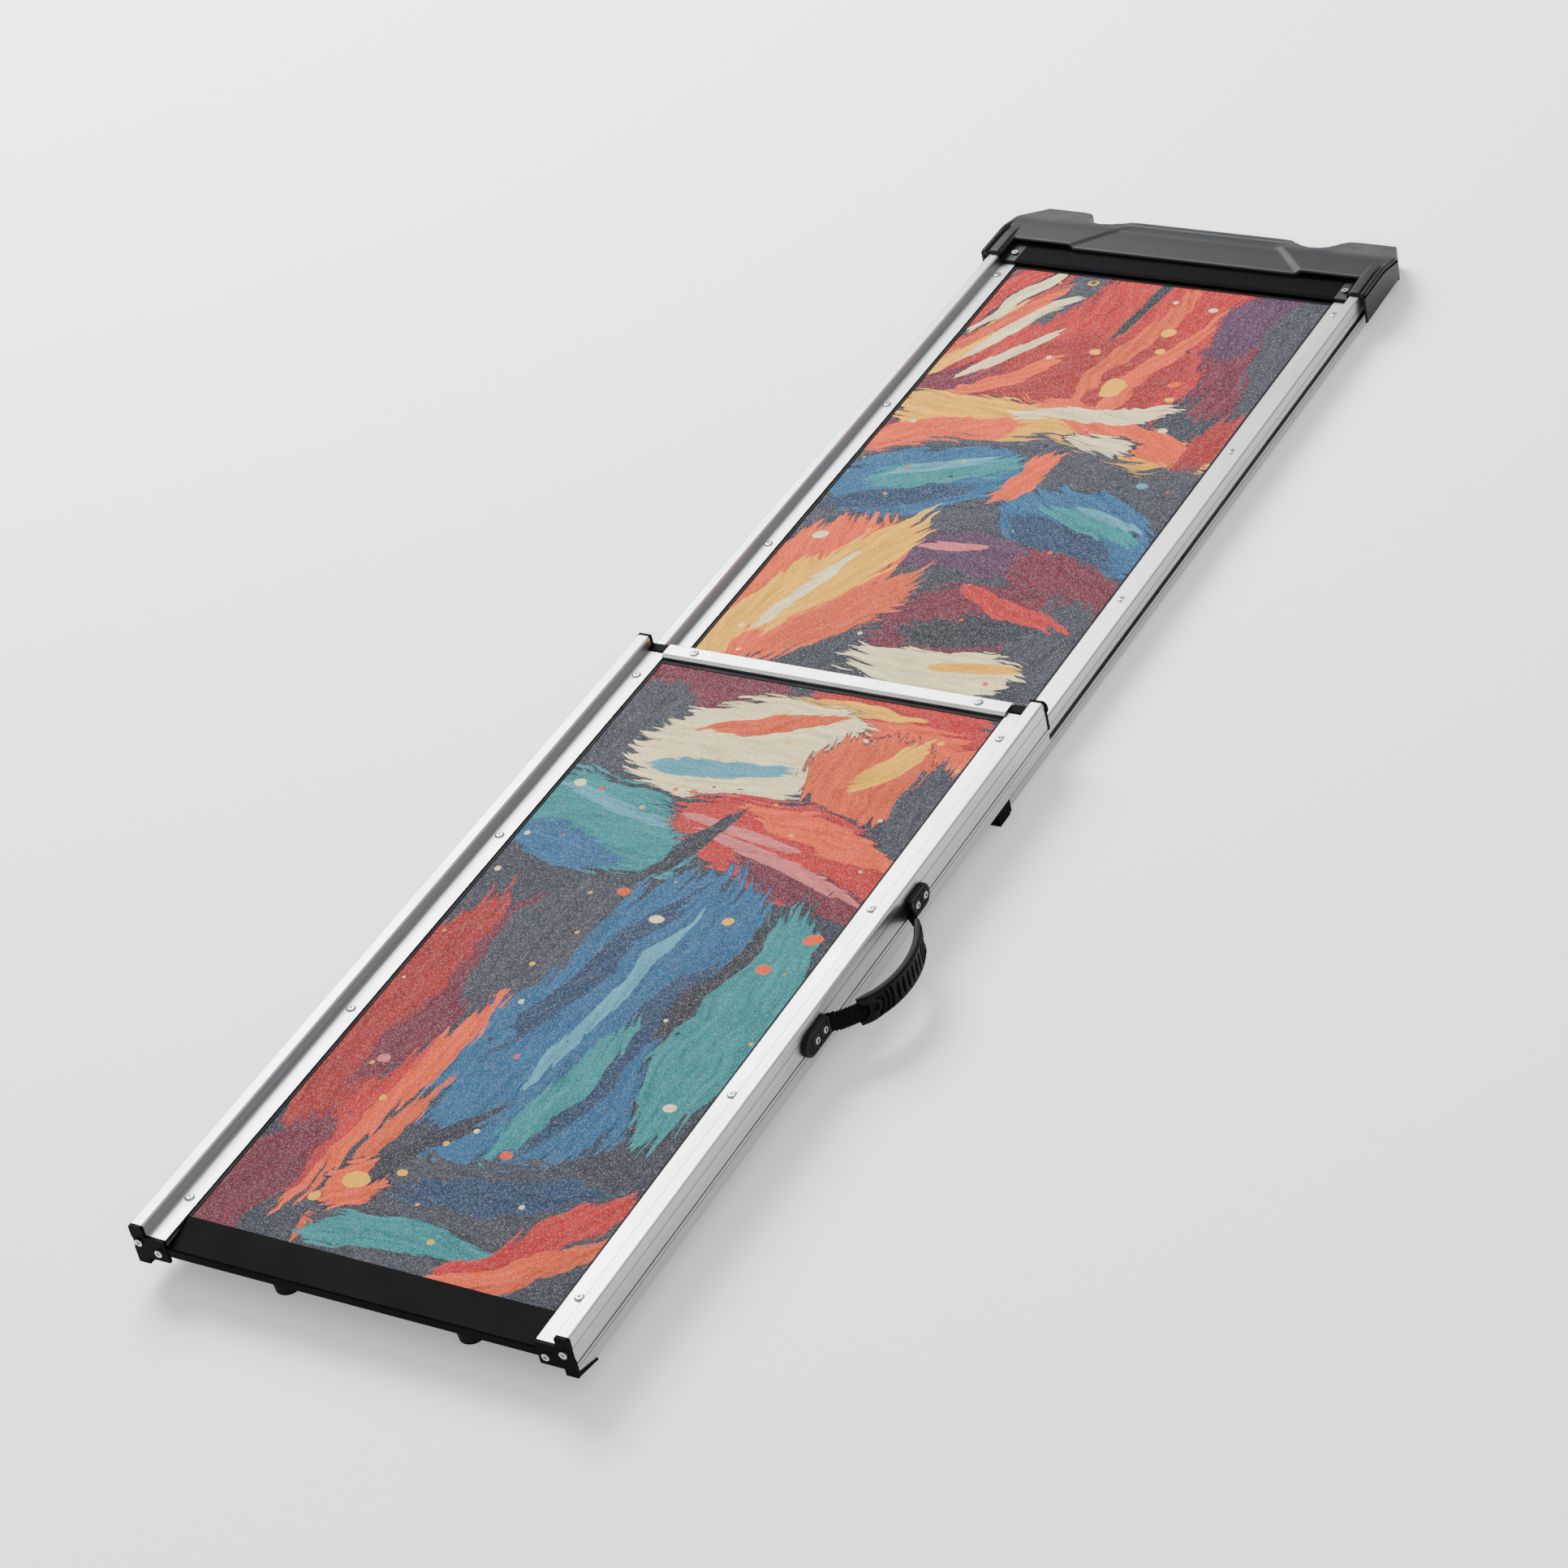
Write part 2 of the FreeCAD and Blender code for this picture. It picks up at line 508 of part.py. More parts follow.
def build_bottom_caps():
    """Black end caps of the lower rails, with a sole under the bevelled rail end."""
    top = "flange_top"
    ports = lower_rail_profile()[2]
    outline = [("opening / 2", top), ("bead_in", top), ("bead_in", f"{top} + bead"),
               ("rail_out", f"{top} + bead"), ("rail_out", f"{top} - 1"), ("rail_out - 1", f"{top} - 4"),
               ("rail_out - 1", f"{top} - 10"), ("rail_out + 0.4", f"{top} - 13"),
               ("rail_out + 0.4", f"{top} - 28.5"), ("cap_in", f"{top} - 28.5"), ("cap_in", f"{top} - 22"),
               ("opening / 2", f"{top} - 22")]
    for side, sign in SIDES:
        plate = extrude(f"bottom_cap_{side}_plate", "XZ_Plane", "0", "cap", [mirror_x(outline, sign)])
        round_edges(plate, 2.4, lambda middle, edge: abs(middle.z - value("flange_top + bead")) < 0.01
                    and abs(middle.y - 1.5) < 0.01)
        low, high = span(sign, "cap_in", "rail_out + 0.4")
        sole = extrude(f"bottom_cap_{side}_sole", "YZ_Plane", low, f"{high} - ({low})",
                       [[("cap - 0.5", f"{top} - 28.5"), ("cap - 0.5", f"{top} - 24.2"),
                         ("bevel_end", f"{top} - lower_skirt - 0.1"),
                         ("bevel_end", f"{top} - lower_skirt - 2.2"),
                         ("8", f"{top} - 29.6")]])
        node(cut(f"bottom_cap_{side}_cut", fuse(f"bottom_cap_{side}_whole", [plate, sole]),
                 plate_screws(ports, "0", sign, f"bottom_cap_{side}")), f"bottom_end_cap_{side}")
    screws = [pan_screw(f"bottom_cap_screw_{side}_{i}", (f"{sign} * ({x})", "0", z), "y", -1, "port_screw")
              for side, sign in SIDES for i, (x, z) in enumerate(ports, start=1)]
    node(group("bottom_cap_screw_group", screws), "bottom_cap_screws")


def build_top_caps():
    """Black caps on the top ends of the lower rails, with a tongue over the flange's end."""
    top = "flange_top"
    ports = lower_rail_profile()[2]
    outline = [("opening / 2 + 0.5", top), ("bead_in - 0.4", top), ("bead_in - 0.4", f"{top} + bead + 0.4"),
               ("rail_out - 1", f"{top} + bead + 0.4"), ("rail_out + 1.8", f"{top} + 7"),
               ("rail_out + 2", f"{top} + 2"), ("rail_out + 0.2", f"{top} - 2"),
               ("rail_out + 0.2", f"{top} - 18"), ("rail_out - wall", f"{top} - 18"),
               ("rail_out - wall", f"{top} - 10"), ("181", f"{top} - 10"), ("181", f"{top} - 16"),
               ("174", f"{top} - 16"), ("opening / 2 + 0.5", f"{top} - 10")]
    start = "lower_end - cap"
    for side, sign in SIDES:
        plate = extrude(f"top_cap_{side}_plate", "XZ_Plane", start, "cap", [mirror_x(outline, sign)])
        tongue = block(f"top_cap_{side}_tongue", span(sign, "opening / 2 + 0.5", "bead_in - 0.4"),
                       ("lower_end - 10", "lower_end"), (f"{top} + 0.05", f"{top} + 1.4"))
        lug = block(f"top_cap_{side}_lug", span(sign, "opening / 2 + 0.5", "bead_in - 0.4"),
                    (start, "lower_end"), (f"{top} - 0.5", f"{top} + 1.4"))
        whole = fuse(f"top_cap_{side}_whole", [plate, lug, tongue])
        node(cut(f"top_cap_{side}_cut", whole, plate_screws(ports, start, sign, f"top_cap_{side}")),
             f"lower_top_cap_{side}")
    screws = [pan_screw(f"top_cap_screw_{side}_{i}", (f"{sign} * ({x})", "lower_end", z), "y", 1,
                        "port_screw")
              for side, sign in SIDES for i, (x, z) in enumerate(ports, start=1)]
    node(group("top_cap_screw_group", screws), "lower_top_cap_screws")


# ---------------------------------------------------------------- sliding parts

def build_slide_parts():
    """Low-friction strips inside the outer walls and the blocks that stop the upper stage."""
    strips = [block(f"glide_{side}", span(sign, "rail_out - wall - 1.25", "rail_out - wall - 0.02"),
                    ("lower_end - 90", "lower_end - 8"), ("flange_top - 26", "flange_top - 13"))
              for side, sign in SIDES]
    node(group("glide_group", strips), "glide_strips")
    blocks = [block(f"stop_{side}", span(sign, "lug_in - 0.2", "lug_out"),
                    ("upper_start + 22", "upper_start + 42"), ("flange_top - 17.5", "flange_top - 10.02"))
              for side, sign in SIDES]
    node(group("stop_group", blocks), "stop_blocks")


def build_tail_caps():
    """Black caps on the lower ends of the upper rails: end plate, sliding shoe and stop lug."""
    top = "flange_top - drop"
    ports = upper_rail_profile()[2]
    outline = [("opening / 2 + 0.6", top), ("upper_bead_in", top), ("upper_bead_in", f"{top} + upper_bead"),
               ("upper_out", f"{top} + upper_bead"), ("upper_out", f"{top} - 7.6"),
               ("slot_in", f"{top} - 7.6"), ("slot_in", f"{top} - 13"), ("upper_out + 0.2", f"{top} - 13"),
               ("upper_out + 0.2", f"{top} - upper_skirt"), ("foot_in", f"{top} - upper_skirt"),
               ("foot_in", f"{top} - 10.1"), ("opening / 2 + 0.6", f"{top} - 10.1")]
    for side, sign in SIDES:
        plate = extrude(f"tail_cap_{side}_plate", "XZ_Plane", "upper_start", "cap", [mirror_x(outline, sign)])
        low, high = ("foot_in - 0.4", "upper_out + 2.2")
        sole = block(f"tail_cap_{side}_sole", span(sign, low, high), ("upper_start", "upper_start + 18"),
                     ("0", f"{top} - upper_skirt - 0.1"))
        cheek = block(f"tail_cap_{side}_cheek", span(sign, "upper_out + 0.1", high),
                      ("upper_start", "upper_start + 21"), ("1.5", f"{top} - 13.6"))
        lug = block(f"tail_cap_{side}_lug", span(sign, "lug_in", "lug_out"),
                    ("upper_start", "upper_start + 21.5"),
                    (f"{top} + 0.2", f"{top} + 7.6"))
        foot = block(f"tail_cap_{side}_lug_root", span(sign, "lug_in", "lug_out + 0.4"),
                     ("upper_start", "upper_start + 3"),
                     (f"{top} - 1", f"{top} + 7.6"))
        whole = fuse(f"tail_cap_{side}_whole", [plate, sole, cheek, foot, lug])
        node(cut(f"tail_cap_{side}_cut", whole, plate_screws(ports, "upper_start", sign, f"tail_cap_{side}")),
             f"upper_tail_cap_{side}")
    screws = [pan_screw(f"tail_cap_screw_{side}_{i}", (f"{sign} * ({x})", "upper_start", z), "y", -1,
                        "port_screw")
              for side, sign in SIDES for i, (x, z) in enumerate(ports, start=1)]
    node(group("tail_cap_screw_group", screws), "upper_tail_cap_screws")


# ---------------------------------------------------------------- nose

TRAY_SCREWS_X = ["-152", "-60", "60", "152"]


def nose_scoops(name, margin):
    """Two round-bottomed notches in the nose's far edge, each wider by a margin all round."""
    tools = []
    for side, sign in SIDES:
        tools.append(rod(f"{name}_scoop_{side}", f"scoop_r + {margin}", "80",
                         (f"{sign} * scoop_x", "scoop_y", "-2")))
        tools.append(block(f"{name}_notch_{side}", span(sign, f"scoop_x - scoop_r - {margin}",
                                                               f"scoop_x + scoop_r + {margin}"),
                           ("scoop_y", "nose_far + 12"), ("-2", "78")))
    return tools


def nose_form(name, inset, side_profile):
    """The nose's outer form, or its hollow when inset: a side profile trimmed to the plan outline."""
    side_slab = extrude(name + "_side", "YZ_Plane", f"-nose_half + {inset}", f"2 * nose_half - 2 * {inset}",
                        [side_profile])
    half_plan = [("nose_half - {0}", "nose_near - 72"), ("nose_half - {0}", "cheek_far - {0} / 2"),
                 ("nose_corner - {0} / 2", "nose_far - {0}"), ("scoop_x - 0.5", "nose_far - {0}"),
                 ("scoop_x - 0.5", "nose_far - 16 - {0}")]
    plan = [(f"-({x})", y) for x, y in half_plan] + list(reversed(half_plan))
    plan_slab = extrude(name + "_plan", "XY_Plane", "-1", "flange_top + 2",
                        [[(x.format(inset), y.format(inset)) for x, y in plan]])
    trimmed = doc.addObject("Part::Common", name + "_trimmed")
    trimmed.Base = side_slab
    trimmed.Tool = plan_slab
    return cut(name, trimmed, nose_scoops(name, inset))


def build_nose():
    """Moulded nose: hollow cover over the rail ends, with cheeks, bead covers and screwed tabs."""
    top = "flange_top"
    slope_z = f"{top} - 8.5"
    cover = [("nose_face", f"{top} - 19.9"), ("nose_face", f"{top} - 9.6"), ("nose_face + 1.2", slope_z),
             ("slope_start", slope_z), ("nose_far", f"{top} - 23.7"), ("nose_far", "1.2"),
             ("nose_far - 28", "2.6"), ("nose_far - 40", "9"), ("nose_face", "9")]
    hollow = [("nose_face + 3", "-3"), ("nose_face + 3", f"{top} - 13"), ("slope_start - 0.5", f"{top} - 13"),
              ("nose_far + 1", f"{top} - 29.2"), ("nose_far + 1", "-3")]
    outer = nose_form("nose_outer", "0", cover)
    inner = nose_form("nose_inner", "3", hollow)
    doorway = ("nose_face - 1", "nose_face + 4")
    mouth = block("nose_mouth", ("-rail_out", "rail_out"), doorway, ("-1", f"{top} - 20.1"))
    rail_ways = [block(f"nose_rail_way_{side}", span(sign, "cover_clear", "rail_out"),
                       ("nose_face - 1", "rail_end + 0.5"), (f"{top} - 21", f"{top} - 10.7"))
                 for side, sign in SIDES]
    shell = cut("nose_shell", outer, [inner, mouth] + rail_ways)
    parts = [shell]
    for side, sign in SIDES:
        cheek_low = "rail_out" if sign > 0 else "-nose_half"
        parts.append(extrude(f"nose_cheek_{side}", "YZ_Plane", cheek_low, "nose_half - rail_out",
                             [[("nose_near", f"{top} - 36.5"), ("nose_near", f"{top} - 7"),
                               ("nose_near + 2", f"{top} - 4.6"), ("nose_face + 28", f"{top} - 4.6"),
                               ("cheek_far - 1", f"{top} - 11"), ("cheek_far - 1", "9")]]))
        parts.append(block(f"nose_bead_cover_{side}", span(sign, "cover_in", "nose_half - 0.5"),
                           ("nose_near + 3", "nose_face + 20"), (f"{top} - 10.7", f"{top} - 6.6")))
        parts.append(block(f"nose_bead_wall_{side}", span(sign, "cover_in", "cover_clear"),
                           ("nose_near + 3", "nose_face + 4"), (f"{top} - 20.1", f"{top} - 6.6")))
        parts.append(block(f"nose_tab_{side}", span(sign, "opening / 2 + 0.1", "cover_clear"),
                           ("nose_near + 3.5", "nose_face + 2"), (f"{top} - 20.1", f"{top} - 16")))
    parts += [rod(f"nose_boss_{i}", "4.5", f"{top} - 25", (x, "tray_screw_y", "7.2"))
              for i, x in enumerate(TRAY_SCREWS_X, start=1)]
    whole = fuse("nose_whole", parts)
    panel = extrude("nose_panel", "XY_Plane", f"{top} - 10.7", "6",
                    [[("-panel_half", "nose_face - 1"), ("panel_half", "nose_face - 1"),
                      ("panel_half - 32", "slope_start - 1"), ("32 - panel_half", "slope_start - 1")]])
    drills = [rod(f"nose_tab_drill_{side}", "screw_r + 0.05", "8",
                  (f"{sign} * tab_x", "tab_y", f"{top} - 21"))
              for side, sign in SIDES]
    bosses = [rod(f"nose_boss_drill_{i}", "screw_r + 0.05", "14", (x, "tray_screw_y", "6"))
              for i, x in enumerate(TRAY_SCREWS_X, start=1)]
    node(cut("nose_cover_cut", whole, [panel] + drills + bosses), "nose_cover")


def build_nose_underside():
    """Tray that closes the nose between the rails, its rubber pads and all of the nose's screws."""
    top = "flange_top"
    profile = [("nose_face + 3.5", "2.8"), ("nose_far - 32", "2.8"), ("nose_far - 30", "4.6"),
               ("nose_far - 20", "4.6"), ("nose_far - 20", "7.1"), ("nose_far - 32", "7.1"),
               ("nose_far - 34", "5.3"), ("nose_face + 6", "5.3"),
               ("nose_face + 6", f"{top} - 31"), ("nose_face + 3.5", f"{top} - 31")]
    tray = extrude("nose_tray_bar", "YZ_Plane", "-tray_half", "2 * tray_half", [profile])
    holes = [rod(f"nose_tray_hole_{i}", "screw_r + 0.05", "6", (x, "tray_screw_y", "3"))
             for i, x in enumerate(TRAY_SCREWS_X, start=1)]
    node(cut("nose_tray_cut", tray, holes + nose_scoops("nose_tray", "3.3")), "nose_tray")
    pads = [block(f"nose_pad_{side}", span(sign, "30", "172"), ("nose_face + 12", "cheek_far"), ("0", "2.78"))
            for side, sign in SIDES]
    node(group("nose_pad_group", pads), "vehicle_pads")
    screws = [pan_screw(f"nose_screw_{side}", (f"{sign} * tab_x", "tab_y", f"{top} - 16"), "z", 1, "6.3")
              for side, sign in SIDES]
    screws += [pan_screw(f"nose_tray_screw_{i}", (x, "tray_screw_y", "4.6"), "z", -1, "13")
               for i, x in enumerate(TRAY_SCREWS_X, start=1)]
    node(group("nose_screw_group", screws), "nose_screws")


# ---------------------------------------------------------------- carry handle

BRACKETS_Y = {"lower": ("389", "362.8"), "upper": ("531", "552.2")}       # inner end, centre of the round end
BRACKET_SCREWS_Y = ["368.5", "382", "540.5", "554"]


def build_brackets():
    """Plastic brackets with one round end, screwed to the right rail's outer wall."""
    face = "rail_out + bracket_t"
    centre_z = "strap_z + 1"
    for place, (inner, rounded) in BRACKETS_Y.items():
        low, high = (rounded, inner) if place == "lower" else (inner, rounded)
        plate = block(f"bracket_{place}_plate", ("rail_out + 0.02", face), (low, high),
                      (f"{centre_z} - bracket_r", f"{centre_z} + bracket_r"))
        disc = rod(f"bracket_{place}_disc", "bracket_r", "bracket_t - 0.02",
                   ("rail_out + 0.02", rounded, centre_z), "x")
        mouth_low, mouth_high = (f"{inner} - 6", f"{inner} + 1") if place == "lower" else (f"{inner} - 1",
                                                                                          f"{inner} + 6")
        mouth = block(f"bracket_{place}_mouth", ("rail_out + 1", "rail_out + 4"), (mouth_low, mouth_high),
                      ("strap_z - strap_w / 2 - 0.5", "strap_z + strap_w / 2 + 0.5"))
        screws = BRACKET_SCREWS_Y[:2] if place == "lower" else BRACKET_SCREWS_Y[2:]
        holes = [rod(f"bracket_{place}_hole_{i}", "bracket_screw_r + 0.05", "bracket_t + 2",
                     ("rail_out - 1", y, centre_z), "x")
                 for i, y in enumerate(screws, start=1)]
        node(cut(f"bracket_{place}_cut", fuse(f"bracket_{place}_whole", [plate, disc]), [mouth] + holes),
             f"handle_bracket_{place}")
    bolts = []
    for i, y in enumerate(BRACKET_SCREWS_Y, start=1):
        name = f"bracket_screw_{i}"
        head = rod(name + "_head", "3.1", "1.2", (face, y, centre_z), "x")
        shank = rod(name + "_shank", "bracket_screw_r", "bracket_t + 1.7",
                    ("rail_out - 1.7", y, centre_z), "x")
        socket = rod(name + "_socket", "1.3", "2", (face, y, centre_z), "x")
        bolts.append(cut(name, fuse(name + "_solid", [head, shank]), [socket]))
    node(group("bracket_screw_group", bolts), "handle_bracket_screws")


def arc_band(name, inside, outside, degrees, height):
    """Upright band that follows the handle's arc between two angles from straight out."""
    first, last = (math.radians(d) for d in degrees)
    middle = (first + last) / 2
    centre = Vector(value("arc_x"), value("arc_y"), 0)

    def spot(radius, angle):
        return centre + Vector(radius * math.cos(angle), radius * math.sin(angle), 0)

    inner = value(f"arc_r + ({inside})")
    outer = value(f"arc_r + ({outside})")
    edges = [Part.Arc(spot(inner, first), spot(inner, middle), spot(inner, last)).toShape(),
             Part.makeLine(spot(inner, last), spot(outer, last)),
             Part.Arc(spot(outer, last), spot(outer, middle), spot(outer, first)).toShape(),
             Part.makeLine(spot(outer, first), spot(inner, first))]
    band = Part.Face(Part.Wire(edges)).extrude(Vector(0, 0, value(height)))
    band.translate(Vector(0, 0, value(f"strap_z - ({height}) / 2")))
    feature = doc.addObject("Part::Feature", name)
    feature.Shape = band
    return feature


def build_handle():
    """Webbing strap with its clamped ends, and the rubber grip moulded round its middle."""
    ends = []
    for place, low, high in (("lower", "384.2", "393"), ("upper", "527", "536.5")):
        ends.append(block(f"webbing_end_{place}", ("rail_out + 1.2", "rail_out + 3.6"), (low, high),
                          ("strap_z - strap_w / 2", "strap_z + strap_w / 2")))
    node(group("webbing_end_group", ends), "handle_webbing_ends")
    node(arc_band("webbing_band", "-strap_t / 2", "strap_t / 2", (-43, 43), "strap_w"), "handle_webbing")
    grip = arc_band("grip_band", "-grip_t / 2 + 0.6", "grip_t / 2 + 0.6", (-34, 34), "grip_w")
    slot = arc_band("grip_slot", "-strap_t / 2 - gap", "strap_t / 2 + gap", (-35, 35), "strap_w + 2 * gap")
    node(cut("grip_cut", grip, [slot]), "handle_grip")


# ---------------------------------------------------------------- assembly

for side_name, side_sign in SIDES:
    build_lower_rail(side_name, side_sign)
for side_name, side_sign in SIDES:
    build_upper_rail(side_name, side_sign)
build_deck("lower", "flange_top", ("33.5", "lower_end - cap - 0.2"), ("33.5", "lower_end - 22"),
           LOWER_RIVETS_Y, ("lower_end - 21.8", "lower_end - 17.1"))
build_deck("upper", "flange_top - drop", ("upper_start + 3.5", "nose_face + 20"),
           ("upper_start + 20", "nose_near - 0.4"), UPPER_RIVETS_Y, ("nose_near - 0.3", "nose_near + 3"))
build_deck_rivets()
build_cross_members("lower", "lower_member_half", LOWER_MEMBERS_Y, "flange_top - 8.5", "8", False)
build_cross_members("upper", "upper_member_half", UPPER_RIVETS_Y, "flange_top - drop - 10.2", "10", True)
build_lower_crossbar()
build_upper_end_bars()
build_bottom_lip()
build_ground_feet()
build_bottom_caps()
build_top_caps()
build_slide_parts()
build_tail_caps()
build_nose()
build_nose_underside()
build_brackets()
build_handle()
doc.recompute()

# the origin is the middle of the footprint, on the surface that the ramp lies on
footprint = Part.makeCompound([item.Shape for item in nodes]).BoundBox
to_middle = Placement(Vector(-footprint.Center.x, -footprint.Center.y, -footprint.ZMin), Rotation())
for item in nodes:
    item.Placement = to_middle.multiply(item.Placement)
doc.recompute()

for item in doc.Objects:
    if "Invalid" in item.State or "Error" in item.State:
        raise RuntimeError(f"{item.Name} did not build: {item.State}")
os.makedirs("parts", exist_ok=True)
for item in nodes:
    if item.Shape.isNull() or not item.Shape.isValid():
        raise RuntimeError(f"{item.Label} has no valid shape")
    item.Shape.exportStep(f"parts/{item.Label}.step")
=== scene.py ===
import json
import math

import bmesh
import bpy
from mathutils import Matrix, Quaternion, Vector


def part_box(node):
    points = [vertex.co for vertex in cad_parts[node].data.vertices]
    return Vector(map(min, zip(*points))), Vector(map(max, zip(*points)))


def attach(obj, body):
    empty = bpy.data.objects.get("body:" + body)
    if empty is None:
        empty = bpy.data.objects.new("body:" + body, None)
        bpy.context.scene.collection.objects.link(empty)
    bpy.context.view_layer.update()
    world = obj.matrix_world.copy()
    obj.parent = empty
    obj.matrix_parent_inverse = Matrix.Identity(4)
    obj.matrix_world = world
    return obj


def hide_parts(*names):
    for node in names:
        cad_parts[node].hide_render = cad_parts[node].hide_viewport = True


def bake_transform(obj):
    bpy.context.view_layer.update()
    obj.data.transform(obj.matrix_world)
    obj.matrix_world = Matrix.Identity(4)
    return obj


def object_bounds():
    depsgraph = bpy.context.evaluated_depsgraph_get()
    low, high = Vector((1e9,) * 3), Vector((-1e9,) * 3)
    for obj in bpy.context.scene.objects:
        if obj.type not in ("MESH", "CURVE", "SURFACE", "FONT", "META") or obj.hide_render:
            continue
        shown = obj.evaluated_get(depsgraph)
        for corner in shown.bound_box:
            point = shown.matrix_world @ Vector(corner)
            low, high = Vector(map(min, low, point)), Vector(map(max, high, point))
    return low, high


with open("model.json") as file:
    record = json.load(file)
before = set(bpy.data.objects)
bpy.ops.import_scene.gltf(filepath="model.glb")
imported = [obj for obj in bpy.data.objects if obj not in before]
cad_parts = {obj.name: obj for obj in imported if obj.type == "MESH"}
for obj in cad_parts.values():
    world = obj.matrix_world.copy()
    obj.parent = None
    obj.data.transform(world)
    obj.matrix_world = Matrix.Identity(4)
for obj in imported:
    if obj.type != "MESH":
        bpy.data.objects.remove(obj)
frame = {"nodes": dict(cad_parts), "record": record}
cad_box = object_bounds()
nodes = frame["nodes"]

# The ramp's own coordinates, in millimetres: x = 0 on the centreline, y = 0 at the bottom end caps'
# front face and z = 0 on the top of the lower rails' flange. place() turns them into the frame's metres.
cap_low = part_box("bottom_end_cap_right")[0]
rail_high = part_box("lower_rail_right")[1]
board_low, board_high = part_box("lower_deck_board")
BEAD = 0.010
ORIGIN = Vector(((board_low.x + board_high.x) / 2, cap_low.y, rail_high.z - BEAD))


def place(x, y, z):
    """A point given in the ramp's own millimetres, in the frame's metres."""
    return ORIGIN + Vector((x, y, z)) / 1000


# ---------------------------------------------------------------- node-tree helpers

class Tree:
    """Short names for building one material's node tree."""

    def __init__(self, name):
        self.material = bpy.data.materials.new(name)
        self.material.use_nodes = True
        self.tree = self.material.node_tree
        self.shader = self.tree.nodes["Principled BSDF"]

    def node(self, kind, **settings):
        made = self.tree.nodes.new(kind)
        for key, setting in settings.items():
            setattr(made, key, setting)
        return made

    def link(self, a, b):
        self.tree.links.new(a, b)

    def put(self, socket, thing):
        """Link an output to a socket, or set a plain number or colour on it."""
        if isinstance(thing, bpy.types.NodeSocket):
            self.link(thing, socket)
        elif isinstance(thing, (tuple, list)) and len(thing) == 3 and socket.type == "RGBA":
            socket.default_value = (*thing, 1)
        else:
            socket.default_value = thing

    def coords(self, stretch=(1, 1, 1), offset=(0, 0, 0)):
        """Object coordinates, which are the frame's metres, stretched per axis."""
        where = self.node("ShaderNodeTexCoord")
        mapping = self.node("ShaderNodeMapping")
        self.link(where.outputs["Object"], mapping.inputs["Vector"])
        mapping.inputs["Scale"].default_value = stretch
        mapping.inputs["Location"].default_value = offset
        return mapping.outputs["Vector"]

    def noise(self, vector, scale, detail=3, rough=0.5):
        made = self.node("ShaderNodeTexNoise")
        self.link(vector, made.inputs["Vector"])
        made.inputs["Scale"].default_value = scale
        made.inputs["Detail"].default_value = detail
        made.inputs["Roughness"].default_value = rough
        return made.outputs["Fac"]

    def voronoi(self, vector, scale, randomness=1.0):
        made = self.node("ShaderNodeTexVoronoi", feature="F1")
        self.link(vector, made.inputs["Vector"])
        made.inputs["Scale"].default_value = scale
        made.inputs["Randomness"].default_value = randomness
        return made.outputs

    def math(self, operation, *numbers):
        made = self.node("ShaderNodeMath", operation=operation)
        for socket, number in zip(made.inputs, numbers):
            self.put(socket, number)
        return made.outputs[0]

    def ramp(self, factor, stops, smooth="LINEAR"):
        made = self.node("ShaderNodeValToRGB")
        made.color_ramp.interpolation = smooth
        marks = made.color_ramp.elements
        while len(marks) < len(stops):
            marks.new(0.5)
        for mark, (position, colour) in zip(marks, stops):
            mark.position = position
            mark.color = (*colour, 1)
        self.link(factor, made.inputs["Fac"])
        return made.outputs["Color"]

    def remap(self, factor, low, high, to_low, to_high):
        made = self.node("ShaderNodeMapRange")
        self.link(factor, made.inputs["Value"])
        for socket, number in zip(("From Min", "From Max", "To Min", "To Max"), (low, high, to_low, to_high)):
            made.inputs[socket].default_value = number
        return made.outputs["Result"]

    def mix(self, factor, a, b, blend="MIX"):
        made = self.node("ShaderNodeMix", data_type="RGBA", blend_type=blend)
        self.put(made.inputs[0], factor)
        self.put(made.inputs[6], a)
        self.put(made.inputs[7], b)
        return made.outputs[2]

    def bump(self, height, strength, distance):
        made = self.node("ShaderNodeBump")
        self.link(height, made.inputs["Height"])
        made.inputs["Strength"].default_value = strength
        made.inputs["Distance"].default_value = distance
        return made.outputs["Normal"]

    def surface(self, **sockets):
        """Set sockets of the shader, written as base_color=..., roughness=... and so on."""
        for key, thing in sockets.items():
            name = " ".join(word.capitalize() if word != "ior" else "IOR" for word in key.split("_"))
            self.put(self.shader.inputs[name], thing)


def dress(names, material):
    """Give CAD nodes one material."""
    for name in names:
        nodes[name].data.materials.clear()
        nodes[name].data.materials.append(material)


def soften(names, width, segments=2, angle=35):
    """Round the sharp edges of CAD nodes a little."""
    for name in names:
        bevel = nodes[name].modifiers.new("edge", "BEVEL")
        bevel.width = width
        bevel.segments = segments
        bevel.limit_method = "ANGLE"
        bevel.angle_limit = math.radians(angle)


# ---------------------------------------------------------------- camera, light and floor

def build_camera():
    """The camera, placed in the ramp's own millimetres, looking down along the ramp from its right side."""
    stands = place(1813.8, -1768.4, 2185.4)
    aims = place(27.5, 643.2, 0)
    roll = math.radians(-13)
    lens = bpy.data.cameras.new("camera")
    lens.sensor_width = 36
    lens.lens = 101.79
    lens.clip_end = 60
    camera = bpy.data.objects.new("camera", lens)
    camera.location = stands
    level = (aims - stands).to_track_quat("-Z", "Y")
    camera.rotation_euler = (level @ Quaternion((0, 0, 1), roll)).to_euler()
    bpy.context.scene.collection.objects.link(camera)
    bpy.context.scene.camera = camera


